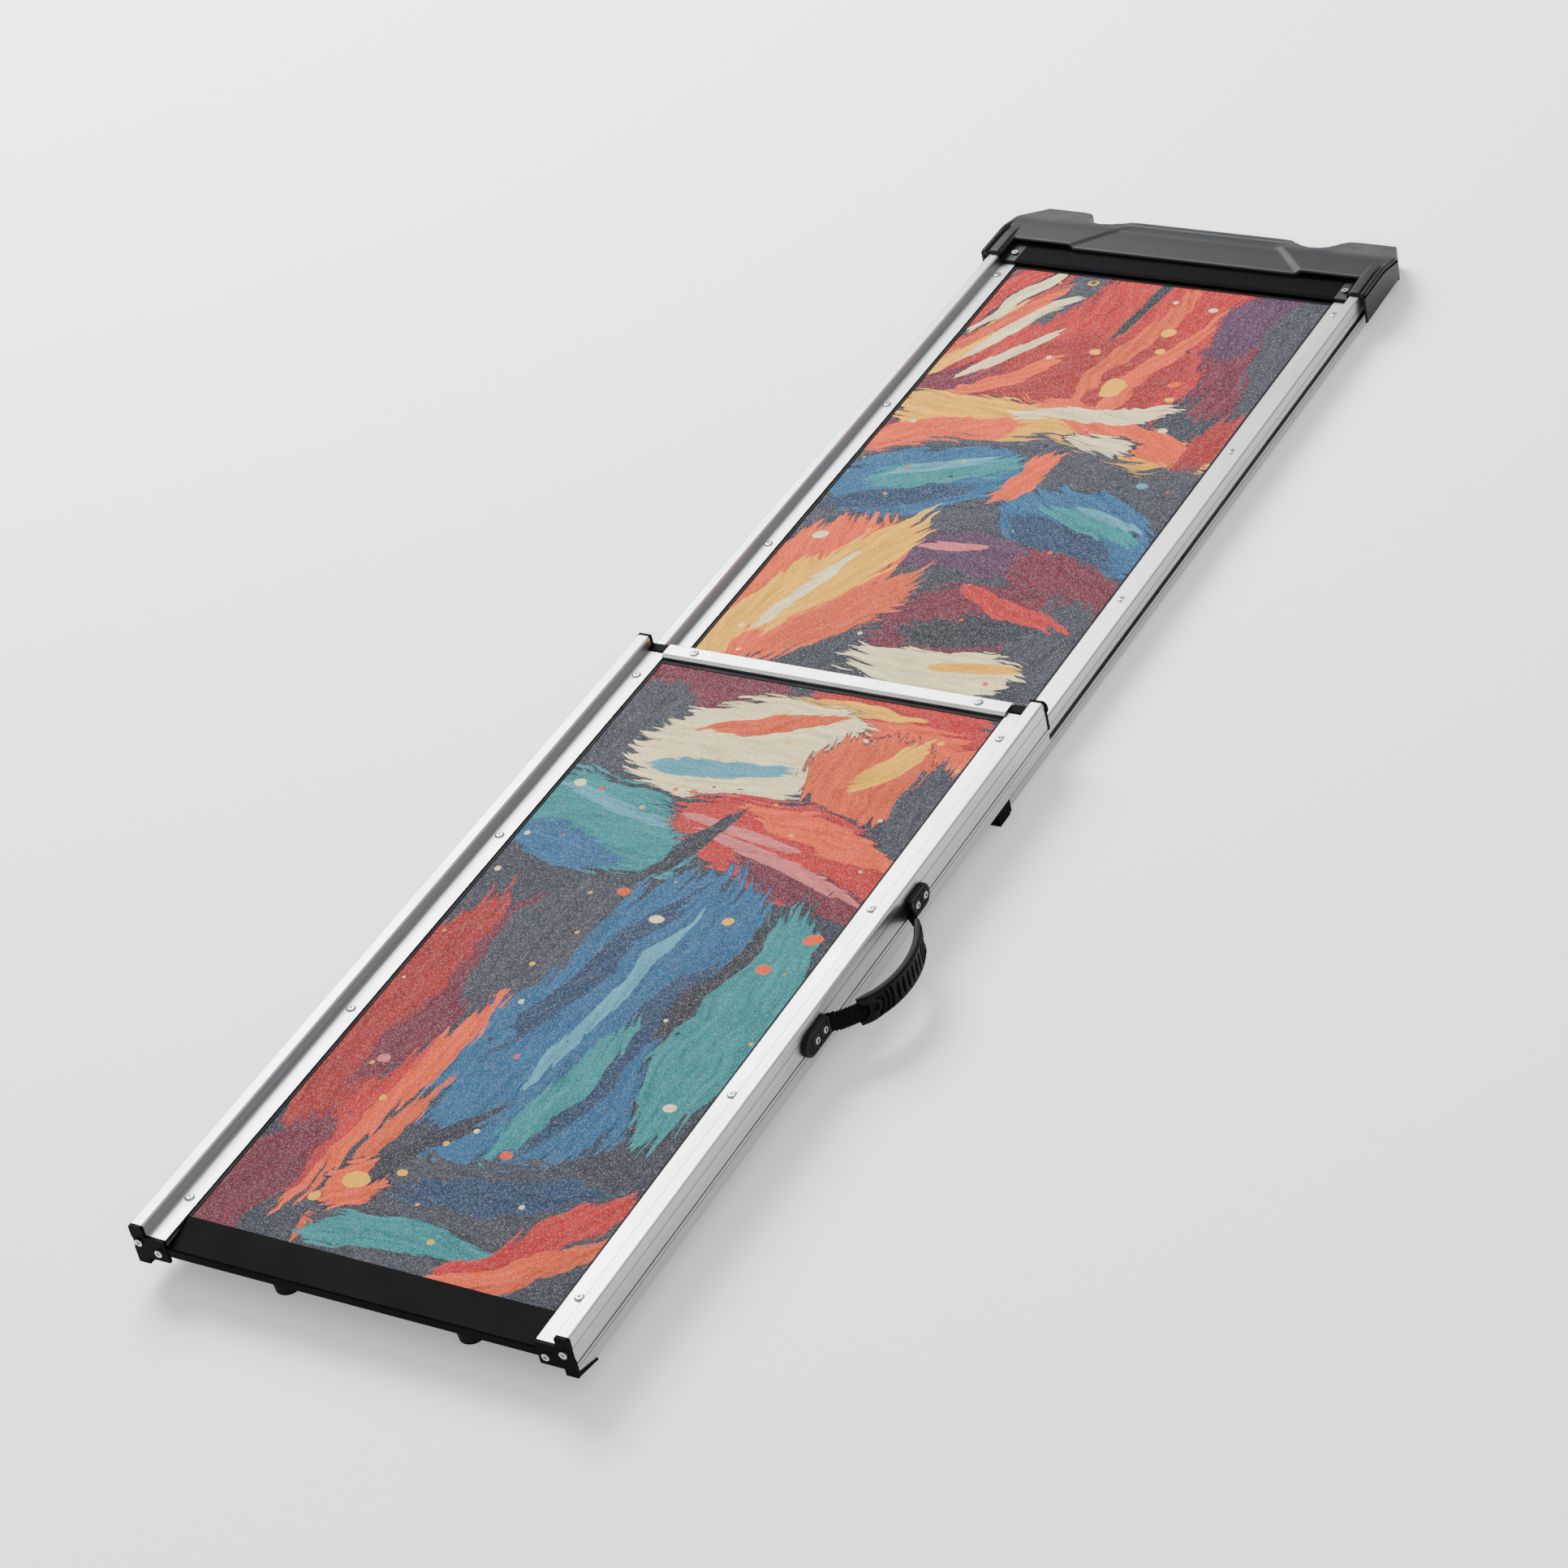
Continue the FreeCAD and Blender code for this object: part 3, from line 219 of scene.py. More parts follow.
def area_light(name, at, size, power):
    """A soft rectangular light that faces the middle of the ramp."""
    lamp = bpy.data.lights.new(name, "AREA")
    lamp.shape = "RECTANGLE"
    lamp.size, lamp.size_y = size
    lamp.energy = power
    holder = bpy.data.objects.new(name, lamp)
    holder.location = at
    holder.rotation_euler = (-Vector(at)).to_track_quat("-Z", "Y").to_euler()
    bpy.context.scene.collection.objects.link(holder)


def build_stage():
    """Plain pale floor that runs out of view, a soft surround and large soft lights."""
    mesh = bpy.data.meshes.new("floor")
    edge = 30
    corners = [(-edge, -edge, 0), (edge, -edge, 0), (edge, edge, 0), (-edge, edge, 0)]
    mesh.from_pydata(corners, [], [(0, 1, 2, 3)])
    floor = bpy.data.objects.new("floor", mesh)
    floor.location.z = cad_box[0][2] - 0.0004
    bpy.context.scene.collection.objects.link(floor)
    paint = Tree("floor_paint")
    paint.surface(base_color=(0.93, 0.93, 0.93), roughness=0.9,
                  emission_color=(1, 1, 1), emission_strength=0.25)
    mesh.materials.append(paint.material)
    world = bpy.data.worlds.new("surround")
    world.use_nodes = True
    world.node_tree.nodes["Background"].inputs["Color"].default_value = (0.95, 0.97, 1, 1)
    world.node_tree.nodes["Background"].inputs["Strength"].default_value = 0.85
    bpy.context.scene.world = world
    area_light("key", (-2.2, 1.6, 2.6), (2.4, 2.0), 345)
    area_light("fill", (2.6, -1.8, 2.2), (2.0, 2.0), 18)


# ---------------------------------------------------------------- materials

def srgb(r, g, b):
    """A colour from 0-255 values, as linear light."""
    return tuple((c / 255 / 12.92) if c <= 10 else ((c / 255 + 0.055) / 1.055) ** 2.4 for c in (r, g, b))


def ink(r, g, b, rich=1.55, strength=0.5):
    """A print colour, a little richer than the plain value so that it holds up under bright light."""
    plain = srgb(r, g, b)
    grey = 0.3 * plain[0] + 0.6 * plain[1] + 0.1 * plain[2]
    return tuple(min(0.9, max(0.002, (grey + (c - grey) * rich) * strength)) for c in plain)


# Grooves of the rails' outer faces, darkened with painted shade: lowest and highest point, and distance from
# the centreline.
LOWER_SHADED_GROOVES = [(-1.55, -0.45, 200.3), (-17.15, -16.05, 200.3), (-21.15, -20.05, 200.3)]
UPPER_SHADED_GROOVES = [(-21.55, -20.45, 196.7), (-33.1, -27.9, 190), (-36.95, -35.85, 196.7)]


def aluminium(name, shade=0.46, rough=0.38, shaded_grooves=()):
    """Mill-finish extrusion: faint die lines along the ramp, a fine matt speckle, and painted shade darkening
    its grooves.
    shaded_grooves are (low, high, out): heights of the grooves that get the painted shade, and how far from
    the centreline they start."""
    t = Tree(name)
    lines = t.noise(t.coords((900, 3, 900)), 1, 4, 0.6)
    speckle = t.noise(t.coords(), 2600, 2, 0.6)
    cloud = t.noise(t.coords((1, 0.3, 1)), 26, 3)
    tone = t.math("ADD", t.remap(lines, 0.3, 0.7, -0.07, 0.05), t.remap(speckle, 0.3, 0.7, -0.09, 0.08))
    value = t.math("ADD", tone, shade)
    # painted shade: inside each groove's band on the outer faces the tone drops to 0.3, standing in for the
    # shade in the grooves
    if shaded_grooves:
        where = t.node("ShaderNodeSeparateXYZ")
        t.link(t.coords(), where.inputs["Vector"])
        sideways = t.math("ABSOLUTE", t.math("SUBTRACT", where.outputs["X"], place(0, 0, 0).x))
        for low, high, out in shaded_grooves:
            above = t.math("GREATER_THAN", where.outputs["Z"], place(0, 0, low).z)
            below = t.math("LESS_THAN", where.outputs["Z"], place(0, 0, high).z)
            beyond = t.math("GREATER_THAN", sideways, out / 1000)
            inside = t.math("MULTIPLY", t.math("MULTIPLY", above, below), beyond)
            value = t.math("MULTIPLY", value, t.remap(inside, 0, 1, 1, 0.3))
    colour = t.node("ShaderNodeCombineColor")
    for socket, tint in zip(("Red", "Green", "Blue"), (0.995, 1.0, 1.005)):
        t.link(t.math("MULTIPLY", value, tint), colour.inputs[socket])
    height = t.math("ADD", t.math("MULTIPLY", lines, 0.6), speckle)
    t.surface(base_color=colour.outputs["Color"], metallic=1.0,
              roughness=t.remap(cloud, 0.3, 0.7, rough - 0.05, rough + 0.07),
              normal=t.bump(height, 0.16, 0.0003))
    return t.material


def grained(name, colour, rough=0.5, grain=900, depth=0.25, specular=0.5):
    """Moulded plastic or rubber with a fine spark-eroded grain."""
    t = Tree(name)
    where = t.coords()
    grains = t.noise(where, grain, 3, 0.6)
    cloud = t.noise(where, 30, 3)
    tone = t.remap(grains, 0.3, 0.7, 0.82, 1.2)
    shade = t.node("ShaderNodeVectorMath", operation="SCALE")
    shade.inputs[0].default_value = colour
    t.link(tone, shade.inputs["Scale"])
    t.surface(base_color=shade.outputs["Vector"],
              roughness=t.remap(cloud, 0.3, 0.7, rough - 0.04, rough + 0.06),
              normal=t.bump(grains, depth, 0.0004))
    t.shader.inputs["Specular IOR Level"].default_value = specular
    return t.material


def zinc():
    """Bright zinc plating on the screws, slightly clouded."""
    t = Tree("zinc_plate")
    where = t.coords()
    cloud = t.noise(where, 400, 3)
    t.surface(base_color=t.ramp(cloud, [(0.3, srgb(150, 152, 153)), (0.7, srgb(186, 187, 186))]),
              metallic=1.0, roughness=t.remap(cloud, 0.3, 0.7, 0.22, 0.34),
              normal=t.bump(t.noise(where, 1500, 2), 0.06, 0.0002))
    return t.material


def board():
    """Dark fibre-filled composite, seen on the decks' edges and undersides."""
    t = Tree("composite_board")
    fibres = t.noise(t.coords((60, 8, 60)), 9, 4, 0.6)
    t.surface(base_color=t.ramp(fibres, [(0.3, (0.018, 0.018, 0.019)), (0.75, (0.05, 0.05, 0.052))]),
              roughness=0.62, normal=t.bump(fibres, 0.2, 0.0004))
    return t.material


def webbing():
    """Woven polyester: a fine crossed weave."""
    t = Tree("strap_webbing")
    weave = t.voronoi(t.coords(), 1300, 0.35)["Distance"]
    t.surface(base_color=t.ramp(weave, [(0.1, (0.007, 0.007, 0.008)), (0.8, (0.002, 0.002, 0.002))]),
              roughness=0.8, normal=t.bump(weave, 0.6, 0.0005))
    t.shader.inputs["Specular IOR Level"].default_value = 0.06
    return t.material


INK, CHARCOAL, PLUM = ink(40, 42, 52), ink(66, 68, 78), ink(84, 52, 80)
RED, CRIMSON, MAROON = ink(204, 74, 74), ink(168, 46, 60), ink(112, 42, 60)
CORAL, ORANGE, AMBER = ink(238, 126, 86), ink(238, 120, 52, 1.5, 0.62), ink(248, 190, 62, 1.4, 0.72)
CREAM, PINK, TEAL = ink(243, 228, 186, 1.3, 0.8), ink(236, 150, 150), ink(54, 148, 150)
STEEL, SKY, NAVY = ink(58, 104, 142), ink(126, 180, 196), ink(40, 62, 92)

# Abstract print, back to front: colour, centre x and y, half length, half width, angle in degrees, ink edge.
STROKES = [
    (MAROON, -112, 1330, 150, 88, 62, 0), (RED, -128, 1400, 105, 52, 70, 0),
    (RED, 22, 1390, 150, 80, 86, 1), (CRIMSON, -18, 1300, 96, 62, 30, 0),
    (CHARCOAL, -88, 1442, 66, 15, 80, 0), (CREAM, -138, 1418, 60, 8, 65, 1),
    (CREAM, -118, 1368, 70, 8, 60, 0), (AMBER, -152, 1338, 66, 9, 70, 0), (CREAM, -104, 1326, 52, 6, 55, 0),
    (ORANGE, -126, 1394, 62, 6, 63, 0), (CORAL, -141, 1368, 54, 6, 66, 0),
    (ORANGE, -96, 1288, 54, 9, 40, 0), (MAROON, 128, 1378, 104, 38, 95, 0),
    (PLUM, 112, 1420, 60, 22, 80, 0), (CHARCOAL, 160, 1394, 104, 22, 92, 0),
    (ORANGE, 44, 1330, 92, 9, 72, 0), (INK, -6, 1440, 60, 5, 82, 0), (CORAL, 10, 1372, 90, 10, 78, 0),
    (AMBER, -4, 1206, 152, 42, -8, 1), (ORANGE, 62, 1230, 100, 20, -20, 0), (CREAM, 20, 1252, 74, 9, 15, 0),
    (CREAM, 50, 1205, 28, 15, 10, 1), (ORANGE, -112, 1184, 84, 18, 25, 0),
    (CRIMSON, 150, 1205, 60, 16, 80, 0), (CHARCOAL, 10, 1085, 190, 92, 4, 0),
    (STEEL, -86, 1112, 84, 44, 24, 1), (TEAL, -70, 1128, 62, 17, 22, 0), (SKY, -78, 1140, 46, 6, 24, 0),
    (STEEL, 92, 1070, 86, 46, -22, 1), (NAVY, 86, 1052, 60, 20, -20, 0), (TEAL, 104, 1082, 50, 12, -18, 0),
    (SKY, 112, 1094, 36, 5, -16, 0), (ORANGE, 6, 1130, 40, 12, 70, 0), (NAVY, -96, 1082, 60, 12, 20, 0),
    (PLUM, 6, 1012, 62, 26, 5, 1), (PINK, -8, 1022, 30, 5, 8, 0), (MAROON, 122, 985, 72, 34, -30, 0),
    (ORANGE, -122, 930, 112, 58, 76, 1), (AMBER, -92, 962, 92, 24, 70, 0),
    (AMBER, -144, 898, 84, 13, 80, 0), (CORAL, -58, 900, 74, 24, 60, 0), (CREAM, -112, 930, 60, 6, 74, 0),
    (MAROON, 66, 904, 84, 58, 20, 1), (CHARCOAL, 146, 880, 84, 32, 100, 0), (INK, 62, 906, 54, 20, 12, 0),
    (RED, 84, 944, 52, 10, -20, 0), (CREAM, 58, 846, 78, 25, 4, 1), (AMBER, 96, 858, 40, 6, 10, 0),
    (MAROON, -122, 742, 84, 46, 10, 0), (CHARCOAL, -152, 684, 62, 44, 90, 0), (RED, 92, 746, 92, 32, -8, 0),
    (ORANGE, 128, 722, 74, 20, -15, 0), (AMBER, 20, 752, 70, 10, 4, 0), (CREAM, -24, 680, 96, 62, 14, 1),
    (CORAL, -20, 716, 66, 9, 18, 0), (CORAL, 98, 668, 56, 52, 80, 1), (AMBER, 104, 690, 40, 10, 60, 0),
    (CHARCOAL, 160, 644, 62, 24, 90, 0), (SKY, -40, 652, 60, 9, 10, 0), (TEAL, -102, 556, 94, 46, -12, 1),
    (STEEL, -130, 522, 64, 18, -10, 0), (SKY, -96, 578, 62, 7, -12, 0), (RED, 80, 560, 124, 42, -14, 1),
    (ORANGE, 100, 588, 92, 11, -12, 0), (MAROON, 122, 520, 84, 18, -16, 0), (PINK, 62, 552, 72, 6, -14, 0),
    (PINK, 22, 576, 60, 5, -10, 0), (PINK, 110, 536, 54, 5, -18, 0), (INK, -14, 548, 52, 9, 66, 0),
    (STEEL, 32, 332, 172, 92, 85, 1), (CRIMSON, -142, 290, 142, 34, 88, 0),
    (MAROON, -108, 336, 112, 18, 84, 0), (CHARCOAL, -72, 404, 84, 30, 80, 0),
    (TEAL, 134, 358, 132, 34, 92, 1), (NAVY, 66, 300, 112, 14, 80, 0), (NAVY, -8, 384, 100, 11, 75, 0),
    (SKY, 26, 352, 110, 7, 82, 0), (TEAL, 44, 252, 90, 12, 78, 0), (INK, 96, 400, 70, 8, 86, 0),
    (ORANGE, -86, 202, 122, 14, 82, 0), (RED, -112, 154, 92, 12, 80, 0), (CORAL, -64, 132, 84, 9, 84, 0),
    (CHARCOAL, 52, 96, 124, 54, 10, 0), (TEAL, 8, 62, 72, 18, 5, 0), (ORANGE, -58, 105, 26, 19, 30, 1),
    (MAROON, -150, 74, 90, 26, 78, 0), (RED, 112, 92, 84, 13, 50, 0), (CORAL, 132, 72, 72, 9, 45, 0),
    (ORANGE, 92, 56, 62, 7, 38, 0), (NAVY, 60, 130, 74, 14, 14, 0), (INK, -20, 160, 60, 8, 60, 0),
]
# Round paint drops: colour, centre x and y, half length, half width, angle.
DROPS = [
    (AMBER, -78, 1462, 6, 5, 20), (AMBER, 34, 1394, 8, 7, 60), (AMBER, 40, 1362, 5, 5, 0),
    (AMBER, 22, 1296, 16, 12, 40), (ORANGE, 78, 1312, 7, 5, 30), (AMBER, 84, 1287, 5, 4, 0),
    (CREAM, 60, 1440, 5, 4, 0), (AMBER, -22, 1348, 6, 5, 0), (ORANGE, 150, 469, 9, 7, 30),
    (ORANGE, 128, 425, 7, 6, 0), (AMBER, -60, 108, 13, 9, 10), (AMBER, -30, 128, 5, 4, 0),
    (AMBER, -84, 84, 6, 5, 50), (CREAM, 138, 256, 6, 5, 0), (CREAM, 10, 456, 7, 5, 10),
    (PINK, -120, 240, 6, 5, 0), (AMBER, 120, 806, 6, 5, 0), (CREAM, -140, 1010, 8, 6, 30),
    (SKY, 120, 1150, 6, 5, 0), (CORAL, -36, 480, 6, 5, 0), (CREAM, -150, 600, 6, 5, 0),
    (AMBER, 70, 470, 5, 5, 0), (CORAL, 40, 170, 6, 5, 0), (CREAM, 100, 1238, 5, 4, 0),
]


GRAINS_PER_METRE = 1500
LENGTHEN, WIDEN = 1.12, 1.22         # how much larger a stroke is painted than it is listed


def metres(x, y):
    """A place on the decks, flattened like the print's coordinates."""
    spot = place(x, y, 0)
    return (spot.x, spot.y, 0)


def printed_grit(stage, low, high):
    """Anti-slip sheet of one section, between two places up the ramp: an abstract print under coarse grit."""
    t = Tree(f"printed_grit_{stage}")
    flat = t.coords((1, 1, 0))
    sway = t.node("ShaderNodeCombineXYZ")
    for axis, shift in (("X", (0, 0, 0)), ("Y", (3.1, 1.7, 0))):
        swirl = t.noise(t.coords((1, 1, 0), shift), 9, 3)
        t.link(t.remap(swirl, 0, 1, -0.0275, 0.0275), sway.inputs[axis])
    push = t.node("ShaderNodeVectorMath", operation="ADD")
    t.link(flat, push.inputs[0])
    t.link(sway.outputs["Vector"], push.inputs[1])
    loose = push.outputs["Vector"]
    bristle = {}
    for turn in (0, 30, 60, 90, 120, 150):
        tilt = t.node("ShaderNodeMapping", vector_type="TEXTURE")
        t.link(loose, tilt.inputs["Vector"])
        tilt.inputs["Rotation"].default_value = (0, 0, math.radians(turn))
        tilt.inputs["Scale"].default_value = (0.055, 0.006, 1)
        bristle[turn] = t.noise(tilt.outputs["Vector"], 1, 3, 0.55)

    def distance(place_at, long, wide, angle):
        local = t.node("ShaderNodeMapping", vector_type="TEXTURE")
        t.link(loose if wide > 7.5 else flat, local.inputs["Vector"])
        local.inputs["Location"].default_value = metres(*place_at)
        local.inputs["Rotation"].default_value = (0, 0, math.radians(angle))
        local.inputs["Scale"].default_value = (long / 1000, wide / 1000, 1)
        length = t.node("ShaderNodeVectorMath", operation="LENGTH")
        t.link(local.outputs["Vector"], length.inputs[0])
        return length.outputs["Value"]

    coat = t.mix(t.remap(bristle[60], 0.3, 0.7, 0.4, 1), INK, CHARCOAL)
    for colour, x, y, long, wide, angle, inked in STROKES:
        if not low < y < high:
            continue
        long, wide = LENGTHEN * long, WIDEN * wide
        ragged = 0.2 if wide > 40 else 0.34
        brush = bristle[round((angle % 180) / 30) * 30 % 180]
        edge = t.math("ADD", distance((x, y), long, wide, angle), t.remap(brush, 0.25, 0.75, -ragged, ragged))
        if inked:
            rim = 2.6 / wide
            coat = t.mix(t.remap(edge, 1.0 + rim, 1.0 + rim - 0.03, 0, 1), coat, INK)
        dark = tuple(0.72 * c for c in colour)
        light = tuple(min(1, 1.12 * c + 0.01) for c in colour)
        body = t.mix(t.remap(brush, 0.34, 0.66, 0, 1), light, dark)
        coat = t.mix(t.remap(edge, 1.0, 0.97, 0, 1), coat, body)
    for colour, x, y, long, wide, angle in DROPS:
        if not low < y < high:
            continue
        uneven = t.remap(bristle[30], 0.25, 0.75, -0.12, 0.12)
        edge = t.math("ADD", distance((x, y), long, wide, angle), uneven)
        coat = t.mix(t.remap(edge, 1.0, 0.9, 0, 1), coat, colour)
    # fine spray: a few cells of a coarse pattern hold a small round spot
    cells = t.voronoi(flat, 62)
    picked = t.node("ShaderNodeSeparateColor")
    t.link(cells["Color"], picked.inputs["Color"])
    radius = t.remap(picked.outputs["Red"], 0.80, 1.0, 0.0, 0.22)
    sprayed = t.math("GREATER_THAN", radius, cells["Distance"])
    spray = t.ramp(picked.outputs["Green"],
                   [(0.0, AMBER), (0.28, CREAM), (0.5, INK), (0.74, CORAL)], "CONSTANT")
    coat = t.mix(t.math("MULTIPLY", sprayed, 0.9), coat, spray)
    # grit: each grain has its own shade, some are bare and some have fallen out
    grains = t.voronoi(t.coords(), GRAINS_PER_METRE)
    parts = t.node("ShaderNodeSeparateColor")
    t.link(grains["Color"], parts.inputs["Color"])
    darker = t.remap(parts.outputs["Red"], 0.0, 1.0, 0.72, 1.06)
    shaded = t.node("ShaderNodeVectorMath", operation="SCALE")
    t.link(coat, shaded.inputs[0])
    t.link(darker, shaded.inputs["Scale"])
    bare = t.math("GREATER_THAN", parts.outputs["Green"], 0.84)
    grey = t.math("MULTIPLY", bare, 0.17)
    speckled = t.mix(grey, shaded.outputs["Vector"], srgb(206, 204, 200))
    holes = t.math("MULTIPLY", t.math("LESS_THAN", parts.outputs["Green"], 0.10), 0.45)
    speckled = t.mix(holes, speckled, srgb(46, 46, 50))
    height = t.math("ADD", t.math("MULTIPLY", grains["Distance"], -1.0), parts.outputs["Blue"])
    t.surface(base_color=speckled, roughness=t.remap(parts.outputs["Blue"], 0, 1, 0.62, 0.92),
              normal=t.bump(height, 0.45, 0.0005))
    t.shader.inputs["Specular IOR Level"].default_value = 0.2
    return t.material


# ---------------------------------------------------------------- mesh helpers

def mesh_piece(name, build, body, material, replaced=(), smooth=35):
    """A new piece from a function that fills a bmesh in the ramp's own millimetres."""
    shape = bmesh.new()
    build(shape)
    bmesh.ops.recalc_face_normals(shape, faces=shape.faces)
    for vert in shape.verts:
        vert.co = place(*vert.co)
    mesh = bpy.data.meshes.new(name)
    shape.to_mesh(mesh)
    shape.free()
    mesh.materials.append(material)
    mesh.shade_smooth()
    mesh.set_sharp_from_angle(angle=math.radians(smooth))
    piece = bpy.data.objects.new(name, mesh)
    bpy.context.scene.collection.objects.link(piece)
    if replaced:
        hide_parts(*replaced)
    if body:
        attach(piece, body)
    return piece


def grid(shape, rows, close_u=False):
    """Faces between rows of points; returns the rows of vertices."""
    made = [[shape.verts.new(point) for point in row] for row in rows]
    for one, other in zip(made, made[1:]):
        count = len(one)
        last = count if close_u else count - 1
        for i in range(last):
            j = (i + 1) % count
            shape.faces.new((one[i], one[j], other[j], other[i]))
    return made


def slab(shape, top, bottom):
    """A closed sheet between two equal grids of points."""
    upper = grid(shape, top)
    lower = grid(shape, bottom)
    edges = [(upper[0], lower[0]), (upper[-1], lower[-1]),
             ([r[0] for r in upper], [r[0] for r in lower]), ([r[-1] for r in upper], [r[-1] for r in lower])]
    for one, other in edges:
        for i in range(len(one) - 1):
            shape.faces.new((one[i], one[i + 1], other[i + 1], other[i]))


def lathe(shape, profile, centre, axis=Vector((0, 0, 1)), steps=28):
    """A closed turned solid: (radius, height) points from the axis back to the axis."""
    turn = axis.to_track_quat("Z", "Y").to_matrix()
    rings = []
    for radius, height in profile:
        if radius == 0:
            rings.append([shape.verts.new(Vector(centre) + turn @ Vector((0, 0, height)))])
            continue
        ring = []
        for i in range(steps):
            angle = 2 * math.pi * i / steps
            spot = turn @ Vector((radius * math.cos(angle), radius * math.sin(angle), height))
            ring.append(shape.verts.new(Vector(centre) + spot))
        rings.append(ring)
    for one, other in zip(rings, rings[1:]):
        for i in range(steps):
            j = (i + 1) % steps
            corners = [one[i % len(one)], one[j % len(one)], other[j % len(other)], other[i % len(other)]]
            shape.faces.new(list(dict.fromkeys(corners)))


def step(value, low, high):
    """Smooth change from 0 to 1 between two values."""
    t = min(1, max(0, (value - low) / (high - low)))
    return t * t * (3 - 2 * t)


def curve_through(points, x):
    """Monotone smooth curve through given points, read at x."""
    if x <= points[0][0]:
        return points[0][1]
    for (x0, y0), (x1, y1) in zip(points, points[1:]):
        if x <= x1:
            return y0 + (y1 - y0) * step(x, x0, x1) * 0.5 + (y1 - y0) * (x - x0) / (x1 - x0) * 0.5
    return points[-1][1]


# ---------------------------------------------------------------- nose cover

NOSE_HALF = 204.5
NOSE_END = 184.0                     # inner face of the covers over the rail beads
NOSE_NEAR = 1505.0
COVER_NEAR = 1475.0
CHEEK_NEAR = 1472.0
NOSE_CORNER = (187.0, 1588.0)
CHEEK_FAR = 1550.0
NOSE_ROUND = 2.6
WALL = 2.4
TAB_TOP, TAB_BOTTOM = -16.0, -20.1
SKIRT_LOW, SKIRT_HIGH = -45.8, -37.2  # lower edge of the outer walls, at the far end and beside the rails
FLAT_TOP = -8.5
SLOPE_START = 1540
SLOPE = 0.325                        # fall per millimetre beyond the start of the slope
ROLL = 4.5                           # length over which the flat rolls into the slope
PANEL_DEPTH = 2.3
RIDGE_HEIGHT = 0.42
RIDGE_PITCH = 10.8
RIM_STEPS = (0, 0.12, 0.45, 1.0, 1.8, 2.8)
FAR_EDGE = [(0, 1572), (76, 1572), (86, 1570.8), (95, 1563), (104, 1556.8), (113, 1554.3), (121, 1556),
            (127, 1561.5), (131, 1569.5), (134, 1579), (139, 1586.4), (150, 1588), NOSE_CORNER]


def nose_far(x):
    """Far outline of the nose: a straight middle, two round scoops, the ears and the cut corners."""
    ax = abs(x)
    if ax >= NOSE_CORNER[0]:
        t = (ax - NOSE_CORNER[0]) / (NOSE_HALF - NOSE_CORNER[0])
        return NOSE_CORNER[1] + t * (CHEEK_FAR - NOSE_CORNER[1])
    return curve_through(FAR_EDGE, ax)


def panel_mask(x, y):
    """1 on the sunken middle panel, with slanted ends that narrow up the nose."""
    half = 121 - 31 * (y - NOSE_NEAR) / 33
    return (1 - step(abs(x) - half, -4.5, 4.5)) * (1 - step(y, 1534, 1556))


def nose_near(x):
    """Near outline of the nose: its face between the rails, then the covers and cheeks that reach further."""
    if abs(x) < NOSE_END:
        return NOSE_NEAR - 3.2 * (1 - step(abs(x) - 121, -4, 4))
    return COVER_NEAR if abs(x) < 198 else CHEEK_NEAR


def nose_height(x, y):
    """Top of the nose: flat, then rolling over into the slope down to the far edge."""
    ax = abs(x)
    height = FLAT_TOP - SLOPE * ROLL * math.log1p(math.exp((y - SLOPE_START) / ROLL))
    height -= PANEL_DEPTH * panel_mask(x, y)
    narrowing = (1570 - y) * 0.6
    in_middle = 1 - step(ax, 70 + narrowing, 84 + narrowing)
    if math.sin((y - 1541) * 2 * math.pi / RIDGE_PITCH) > 0:
        height += RIDGE_HEIGHT * in_middle * step(y, 1538, 1543) * (1 - step(y, 1566, 1570))
    if ax < NOSE_END:
        return height
    # covers over the rail beads, the groove beside them and the raised cheek, all fading up the nose
    fade = 1 - step(y, 1512, 1530)
    cover = -6.4 - 4.6 * (1 - step(ax, NOSE_END, 188.4)) - 0.9 * step(y, 1500, 1530)
    height = max(height, cover * fade + height * (1 - fade))
    height -= 1.9 * step(ax, 196.4, 197.2) * (1 - step(ax, 198.6, 199.6)) * (1 - step(y, 1520, 1530))
    cheek = -4.9 - 0.3 * step(ax, 203, NOSE_HALF)
    lift = step(ax, 198.8, 200.4) * (1 - step(y, 1514, 1540))
    return height * (1 - lift) + max(height, cheek) * lift


def rounding(distances):
    """How far a round-over of the nose's rim drops at given distances from its edges."""
    gone = sum(max(0, NOSE_ROUND - d) ** 2 for d in distances)
    return NOSE_ROUND - math.sqrt(max(0, NOSE_ROUND ** 2 - gone))


def nose_columns(low, high):
    """Places across the nose, closer together at its rims, scoops and slanted panel ends."""
    spots = {low, high}
    for rim in RIM_STEPS[1:]:
        spots.update((low + rim, high - rim))
    x = low + 3.5
    while x < high - 3.5:
        spots.add(round(x, 3))
        ax = abs(x)
        x += 1.3 if 84 < ax < 141 or ax > 183 else 3.0
    return sorted(spots)


def nose_grid(low, high, rim_low, rim_high):
    """Top surface points between two places across; rims that stand free are rounded over."""
    rows = []
    for x in nose_columns(low, high):
        near, far = nose_near(x), nose_far(x)
        slant = abs(nose_far(x + 0.2) - nose_far(x - 0.2)) / 0.4
        stretch = math.sqrt(1 + slant * slant)
        inside = [near + 4 + (far - near - 8) * i / 33 for i in range(34)]
        ys = [near + r for r in RIM_STEPS] + inside + [far - r for r in reversed(RIM_STEPS)]
        row = []
        for y in ys:
            distances = [y - near, (far - y) / stretch]
            # beyond the nose's face the covers run into the middle, so that rim stays flat
            joined = NOSE_ROUND * step(y, NOSE_NEAR - 2, NOSE_NEAR + 4)
            if rim_low:
                distances.append(x - low + (joined if low > 0 else 0))
            if rim_high:
                distances.append(high - x + (joined if high < 0 else 0))
            row.append(Vector((x, y, nose_height(x, y) - rounding(distances))))
        rows.append(row)
    return rows


def inner(point, towards, by=WALL):
    """A point moved inward, level, towards another."""
    way = Vector((towards[0] - point.x, towards[1] - point.y, 0))
    return point + way.normalized() * by


